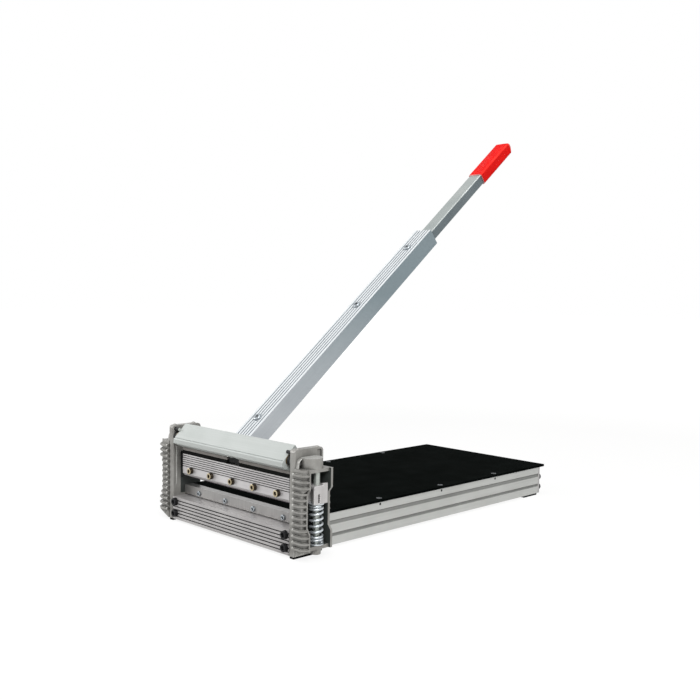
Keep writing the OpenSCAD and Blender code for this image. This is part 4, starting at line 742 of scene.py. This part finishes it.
# a screw as rings round its axis, head first: each ring is a radius in mm, a height in mm and a form
def turnedScrew(name, rings, steps=screwForm["steps"]):
    mesh = bmesh.new()
    loops = []
    for radius, height, form in rings:
        loop = []
        for i in range(steps):
            a = 2 * math.pi * i / steps
            r = radius
            if form == "hex":
                r = radius / math.cos((a % (math.pi / 3)) - math.pi / 6)
            if form == "cross":
                c = max(abs(math.cos(a)), screwForm["least"])
                s = max(abs(math.sin(a)), screwForm["least"])
                arm = radius * screwForm["arm"]
                r = max(min(radius / c, arm / s), min(radius / s, arm / c))
            loop.append(mesh.verts.new((r * math.cos(a) / 1000, r * math.sin(a) / 1000, height / 1000)))
        loops.append(loop)
    for low, high in zip(loops, loops[1:]):
        for i in range(steps):
            mesh.faces.new((low[i], low[(i + 1) % steps], high[(i + 1) % steps], high[i]))
    mesh.faces.new(list(reversed(loops[0])))
    mesh.faces.new(loops[-1])
    bmesh.ops.recalc_face_normals(mesh, faces=mesh.faces)
    data = meshFrom(mesh, name)
    data.polygons.foreach_set("use_smooth", [True] * len(data.polygons))
    data.set_sharp_from_angle(angle=math.radians(screwForm["sharp"]))
    return data


# puts a copy of one shape on every point, all turned the same way
rowTree = newTree("rowOfPieces", {
    "Geometry": "Geometry", "Piece": "Object", "Turn": "Rotation", "Finish": "Material"})
rowIn = addNode(rowTree, "NodeGroupInput")
rowPiece = addNode(rowTree, "GeometryNodeObjectInfo", {"transform_space": "ORIGINAL", "As Instance": True},
                   {"Object": (rowIn, "Piece")})
rowPoints = addNode(rowTree, "GeometryNodeMeshToPoints", None, {"Mesh": (rowIn, "Geometry")})
rowPlaced = addNode(rowTree, "GeometryNodeInstanceOnPoints", None, {
    "Points": (rowPoints, 0), "Instance": (rowPiece, "Geometry"), "Rotation": (rowIn, "Turn")})
endTree(rowTree, rowPlaced, rowIn)


def rowOf(name, shape, points, finish, turn=(0, 0, 0)):
    pattern = linked(name + "Pattern", shape)
    seed = bpy.data.meshes.new(name + "Seed")
    seed.from_pydata([tuple(p) for p in points], [], [])
    row = grown(rowTree, name, seed, {"Piece": pattern, "Turn": Euler([math.radians(a) for a in turn]),
                                      "Finish": materials[finish]})
    bpy.data.objects.remove(pattern)
    return row


def joined(name, parts):
    whole = bmesh.new()
    for part in parts:
        whole.from_mesh(part.data)
    mesh = meshFrom(whole, name)
    for material in parts[0].data.materials:
        mesh.materials.append(material)
    for part in parts:
        bpy.data.objects.remove(part)
    return linked(name, mesh)


def shankRings(shank, length):
    tip = screwForm["tip"]
    return [(shank / 2, length - tip, "round"), (shank / 2 - tip, length, "round")]


# rings of a crowned head, each given by its inset from the rim and its drop from the top
def crownRings(radius, top, crown):
    return [(radius - inset, top + drop, "round") for inset, drop in crown]


# rings of a cross recess, each given by its radius and its depth
def recessRings(top, recess):
    return [(radius, top + depth, "cross") for radius, depth in recess]


# socket head, in mm but for the pip: a pip in the socket's floor as a share of it, the socket's flared mouth,
# the crown, and the easing under the head
capForm = {"pip": 0.1, "mouth": 0.25, "flare": 0.3, "crown": ((0.7, 0), (0.2, 0.2), (0, 0.7)), "under": 0.25}


def capScrew(name, bolt, length):
    r, hole, top = bolt["head"] / 2, bolt["socket"] / 2, -bolt["height"]
    return turnedScrew(name, [
        (hole * capForm["pip"], top + bolt["sunk"], "round"), (hole, top + bolt["sunk"], "hex"),
        (hole, top + capForm["mouth"], "hex"), (hole + capForm["flare"], top, "round"),
        *crownRings(r, top, capForm["crown"]), (r, -capForm["under"], "round"),
        (r - capForm["under"], 0, "round"), (bolt["shank"] / 2, 0, "round"),
        *shankRings(bolt["shank"], length)])


# blade bolts along the carrier
bladeBolt = {"xs": (-88, -44, 0, 44, 88), "shank": 5.0, "head": 8.5, "height": 5.0, "socket": 4.2,
             "sunk": 1.8}
low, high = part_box("blade_bolts")
boltSeat = low.y + bladeBolt["height"] / 1000
boltZ = (low.z + high.z) / 2
bolts = rowOf("bladeBolts", capScrew("bladeBoltShape", bladeBolt, (high.y - boltSeat) * 1000),
              [(x / 1000, boltSeat, boltZ) for x in bladeBolt["xs"]], "bronzedSteel", (-90, 0, 0))
# the bolts' front faces painted bright: a painted highlight
repaint(bolts, "bronzedRubbed", lambda face: face.normal.y < -facing["square"])
stands(bolts, "black_oxide_steel", "carriage", "blade_bolts")

# frame bolts, two at each corner, front and rear
frameBolt = {"shank": 6.0, "head": 10.0, "height": 6.0, "socket": 5.2, "sunk": 1.8}
low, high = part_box("front_frame_bolts")
r = frameBolt["head"] / 2000
corners = [(x, z) for x in (low.x + r, high.x - r) for z in (low.z + r, high.z - r)]
seat = low.y + frameBolt["height"] / 1000
front = rowOf("frontFrameBolts", capScrew("frontBoltShape", frameBolt, (high.y - seat) * 1000),
              [(x, seat, z) for x, z in corners], "blackOxide", (-90, 0, 0))
stands(front, "black_oxide_steel", "frame", "front_frame_bolts")
low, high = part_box("rear_frame_bolts")
seat = high.y - frameBolt["height"] / 1000
rear = rowOf("rearFrameBolts", capScrew("rearBoltShape", frameBolt, (seat - low.y) * 1000),
             [(x, seat, z) for x, z in corners], "blackOxide", (90, 0, 0))
stands(rear, "black_oxide_steel", "frame", "rear_frame_bolts")

# deck screws, countersunk, in pairs down both sides
deckScrew = {"ys": (158.6, 280.3, 402.0), "shank": 4.0, "head": 7.6, "rim": 0.25, "land": 0.2,
             "recess": ((1.32, 1.4), (2.2, 1.2), (2.728, 0.02))}
low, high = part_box("deck_screws")
deckX = high.x * 1000 - deckScrew["head"] / 2
deckTop = (high.z - benchZ) * 1000
r, s = deckScrew["head"] / 2, deckScrew["shank"] / 2
deckShape = turnedScrew("deckScrewShape", [
    *recessRings(0, deckScrew["recess"]), (r - deckScrew["rim"], 0, "round"), (r, deckScrew["land"], "round"),
    (s, r - s + deckScrew["land"], "round"), *shankRings(deckScrew["shank"], (high.z - low.z) * 1000)],
    screwForm["crossSteps"])
screws = rowOf("deckScrews", deckShape,
               [spot(side * deckX, y, deckTop) for side in (-1, 1) for y in deckScrew["ys"]],
               "dullZinc", (180, 0, 0))
stands(screws, "zinc_steel", "frame", "deck_screws")

# set screws in the rails' sides, one a step in front of each deck screw
sideScrew = {"step": 4.2, "z": 37.2, "head": 3.2, "length": 3.4, "socket": 1.6, "sunk": 1.0, "pip": 0.1,
             "lip": 0.1, "ease": 0.15, "tip": 0.3}
r, hole = sideScrew["head"] / 2, sideScrew["socket"] / 2
sideShape = turnedScrew("sideScrewShape", [
    (sideScrew["pip"], sideScrew["sunk"], "round"), (hole, sideScrew["sunk"], "hex"),
    (hole, sideScrew["lip"], "hex"), (hole + sideScrew["lip"], 0, "round"),
    (r - sideScrew["ease"], 0, "round"), (r, sideScrew["ease"], "round"),
    (r, sideScrew["length"] - sideScrew["tip"], "round"),
    (r - sideScrew["tip"], sideScrew["length"], "round")])
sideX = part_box("rail_side_screws")[1].x * 1000
sideRows = []
for side, turn in ((1, -90), (-1, 90)):
    places = [spot(side * sideX, y - sideScrew["step"], sideScrew["z"]) for y in deckScrew["ys"]]
    sideRows.append(rowOf("sideRow", sideShape, places, "blackOxide", (0, turn, 0)))
sideScrews = joined("railSideScrews", sideRows)
stands(sideScrews, "black_oxide_steel", "frame", "rail_side_screws")

# lower blade screws, button heads
lowScrew = {"xs": (-85.5, -28.5, 28.5, 85.5), "shank": 4.0, "head": 7.0, "height": 2.0, "socket": 2.9,
            "sunk": 1.3}
low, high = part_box("lower_blade_screws")
seat = low.y + lowScrew["height"] / 1000
buttons = rowOf("lowerBladeScrews", capScrew("lowScrewShape", lowScrew, (high.y - seat) * 1000),
                [(x / 1000, seat, (low.z + high.z) / 2) for x in lowScrew["xs"]], "panZinc", (-90, 0, 0))
stands(buttons, "zinc_steel", "frame", "lower_blade_screws")

# handle bolts, pan heads with a cross recess on the ridged face
handleBolt = {"us": (53.6, 280.5, 414.0), "n": 0.05, "shank": 6.0, "head": 11.0, "height": 3.2,
              "length": 32.5, "recess": ((1.4, 1.7), (1.9, 1.5), (2.9, 0.05)),
              "crown": ((1.3, 0), (0.5, 0.5), (0, 1.5)), "under": 0.2}
r, top = handleBolt["head"] / 2, -handleBolt["height"]
panShape = turnedScrew("handleBoltShape", [
    *recessRings(top, handleBolt["recess"]), *crownRings(r, top, handleBolt["crown"]),
    (r, -handleBolt["under"], "round"), (r - handleBolt["under"], 0, "round"),
    (handleBolt["shank"] / 2, 0, "round"), *shankRings(handleBolt["shank"], handleBolt["length"])],
    screwForm["crossSteps"])
pans = rowOf("handleBolts", panShape, [leverSpot(0, u, handleBolt["n"]) for u in handleBolt["us"]],
             "panZinc", (pivot["angle"] + 180, 0, 0))
stands(pans, "zinc_steel", "lever", "handle_bolts")
print("screws set")


# sweeps a flat bar along every line of a mesh
sweepTree = newTree("sweptBar", {
    "Geometry": "Geometry", "Width": "Float", "Height": "Float", "Finish": "Material"})
sweepIn = addNode(sweepTree, "NodeGroupInput")
sweepLine = addNode(sweepTree, "GeometryNodeMeshToCurve", None, {"Mesh": (sweepIn, "Geometry")})
sweepForm = addNode(sweepTree, "GeometryNodeCurvePrimitiveQuadrilateral", None,
                    {"Width": (sweepIn, "Width"), "Height": (sweepIn, "Height")})
sweepBar = addNode(sweepTree, "GeometryNodeCurveToMesh", {"Fill Caps": True},
                   {"Curve": (sweepLine, 0), "Profile Curve": (sweepForm, 0)})
endTree(sweepTree, sweepBar, sweepIn)


def sweptBars(name, lines, width, height, finish, ease):
    points = [tuple(p) for line in lines for p in line]
    edges = []
    for line in lines:
        first = edges[-1][1] + 1 if edges else 0
        edges += [(first + i, first + i + 1) for i in range(len(line) - 1)]
    seed = bpy.data.meshes.new(name + "Seed")
    seed.from_pydata(points, edges, [])
    bars = grown(sweepTree, name + "Bars", seed, {
        "Width": width / 1000, "Height": height / 1000, "Finish": materials[finish]})
    paint(bars, finish)
    return eased(bars, name, ease)


moundSteps = {"round": 18, "upward": 12}
sortWay = Vector((1.0, 0.37, 0.113))  # askew, so that no two points of a mound come level


# a small smooth mound, given by its three half sizes in mm
def mound(name, halves):
    mesh = bmesh.new()
    bmesh.ops.create_uvsphere(mesh, u_segments=moundSteps["round"], v_segments=moundSteps["upward"],
                              radius=0.001)
    bmesh.ops.scale(mesh, verts=mesh.verts, vec=halves)
    # one fixed order, because the order that the sphere is made in changes from run to run
    mesh.verts.sort(key=lambda v: v.co.dot(sortWay))
    mesh.edges.sort(key=lambda e: (e.verts[0].co + e.verts[1].co).dot(sortWay))
    mesh.faces.sort(key=lambda f: f.calc_center_median().dot(sortWay))
    data = meshFrom(mesh, name)
    data.polygons.foreach_set("use_smooth", [True] * len(data.polygons))
    return data


def bothSides(points):
    return [spot(side * x, y, z) for side in (-1, 1) for x, y, z in points]


# cast details of the posts: beads where the fins meet the strip, nubs on the back wall, bumps on the ears
fins = {"count": 13, "low": 11.6, "pitch": 7.15, "x": 128.0, "y": -2.2, "halves": (1.4, 1.5, 1.9)}
finSpots = [(fins["x"], fins["y"], fins["low"] + i * fins["pitch"]) for i in range(fins["count"])]
# the beads take the casting's lighter edge finish: a painted highlight where the fins end
beads = rowOf("finBeads", mound("finBeadShape", fins["halves"]), bothSides(finSpots), "castAluminiumEdge")
stands(beads, "cast_alloy", "frame")
nubs = {"count": 4, "low": 47.35, "x": 142.6, "y": 40.2, "halves": (1.6, 1.9, 1.5)}
nubSpots = [(nubs["x"], nubs["y"], nubs["low"] + i * fins["pitch"]) for i in range(nubs["count"])]
backNubs = rowOf("backNubs", mound("backNubShape", nubs["halves"]), bothSides(nubSpots),
                 "castAluminiumEdge")
stands(backNubs, "cast_alloy", "frame")
bumps = {"x": 124.4, "ys": (7.5, 37.5), "z": 124.7, "halves": (2.4, 2.9, 1.7)}
earBumps = rowOf("earBumps", mound("earBumpShape", bumps["halves"]),
                 bothSides([(bumps["x"], y, bumps["z"]) for y in bumps["ys"]]), "castAluminium")
stands(earBumps, "cast_alloy", "frame")

# an arch over the outer end of each pivot, from the post's strip to the boss
arch = {"x": 129.7, "foot": (2.2, 103.3), "centre": (9.4, 108.5), "radius": 6.2, "end": 9.4, "wide": 4.6,
        "thick": 1.6, "steps": 12, "ease": 0.6}
archLine = [arch["foot"]]
for i in range(arch["steps"] + 1):
    a = math.pi - math.pi / 2 * i / arch["steps"]
    archLine.append((arch["centre"][0] + arch["radius"] * math.cos(a),
                     arch["centre"][1] + arch["radius"] * math.sin(a)))
archLine.append((arch["end"], arch["centre"][1] + arch["radius"]))
arches = sweptBars("pivotArches", [[spot(side * arch["x"], y, z) for y, z in archLine] for side in (-1, 1)],
                   arch["wide"], arch["thick"], "castAluminium", arch["ease"])
stands(arches, "cast_alloy", "frame")

# upright flutes on the web below the housing, shorter towards its tip
flutes = {"count": 8, "first": 129.0, "pitch": 2.2, "y": -0.7, "top": 9.6, "slope": 9.5 / 21.8, "root": 127.2,
          "lift": 0.3, "wide": 1.0, "ease": 0.3}
fluteLines = []
for side in (-1, 1):
    for i in range(flutes["count"]):
        x = flutes["first"] + i * flutes["pitch"]
        low = (x - flutes["root"]) * flutes["slope"] + flutes["lift"]
        fluteLines.append([spot(side * x, flutes["y"], low), spot(side * x, flutes["y"], flutes["top"])])
webFlutes = sweptBars("webFlutes", fluteLines, flutes["wide"], flutes["wide"], "castAluminium",
                      flutes["ease"])
stands(webFlutes, "cast_alloy", "frame")

# a raised guide rib down the inside of each post, in front of the carrier
guideRib = {"x": 117.8, "y": 6.2, "low": 46.0, "high": 97.0, "wide": 1.6, "thick": 1.6, "ease": 0.5}
ribLines = [[spot(side * guideRib["x"], guideRib["y"], z) for z in (guideRib["low"], guideRib["high"])]
            for side in (-1, 1)]
guideRibs = sweptBars("guideRibs", ribLines, guideRib["wide"], guideRib["thick"], "castAluminium",
                      guideRib["ease"])
stands(guideRibs, "cast_alloy", "frame")

# teeth along one side of the slot in each yoke, given by their half sizes in mm
teeth = {"count": 4, "x": 145.5, "y": 22.2, "low": 65.6, "pitch": 2.4, "halves": (1.3, 0.45, 0.6)}
toothMesh = bmesh.new()
bmesh.ops.create_cube(toothMesh, size=0.002)
bmesh.ops.scale(toothMesh, verts=toothMesh.verts, vec=teeth["halves"])
toothShape = meshFrom(toothMesh, "yokeToothShape")
toothSpots = [(teeth["x"], teeth["y"], teeth["low"] + i * teeth["pitch"]) for i in range(teeth["count"])]
yokeTeeth = rowOf("yokeTeeth", toothShape, bothSides(toothSpots), "yokeNickel")
stands(yokeTeeth, "yoke_steel", "carriage")
print("cast details added")
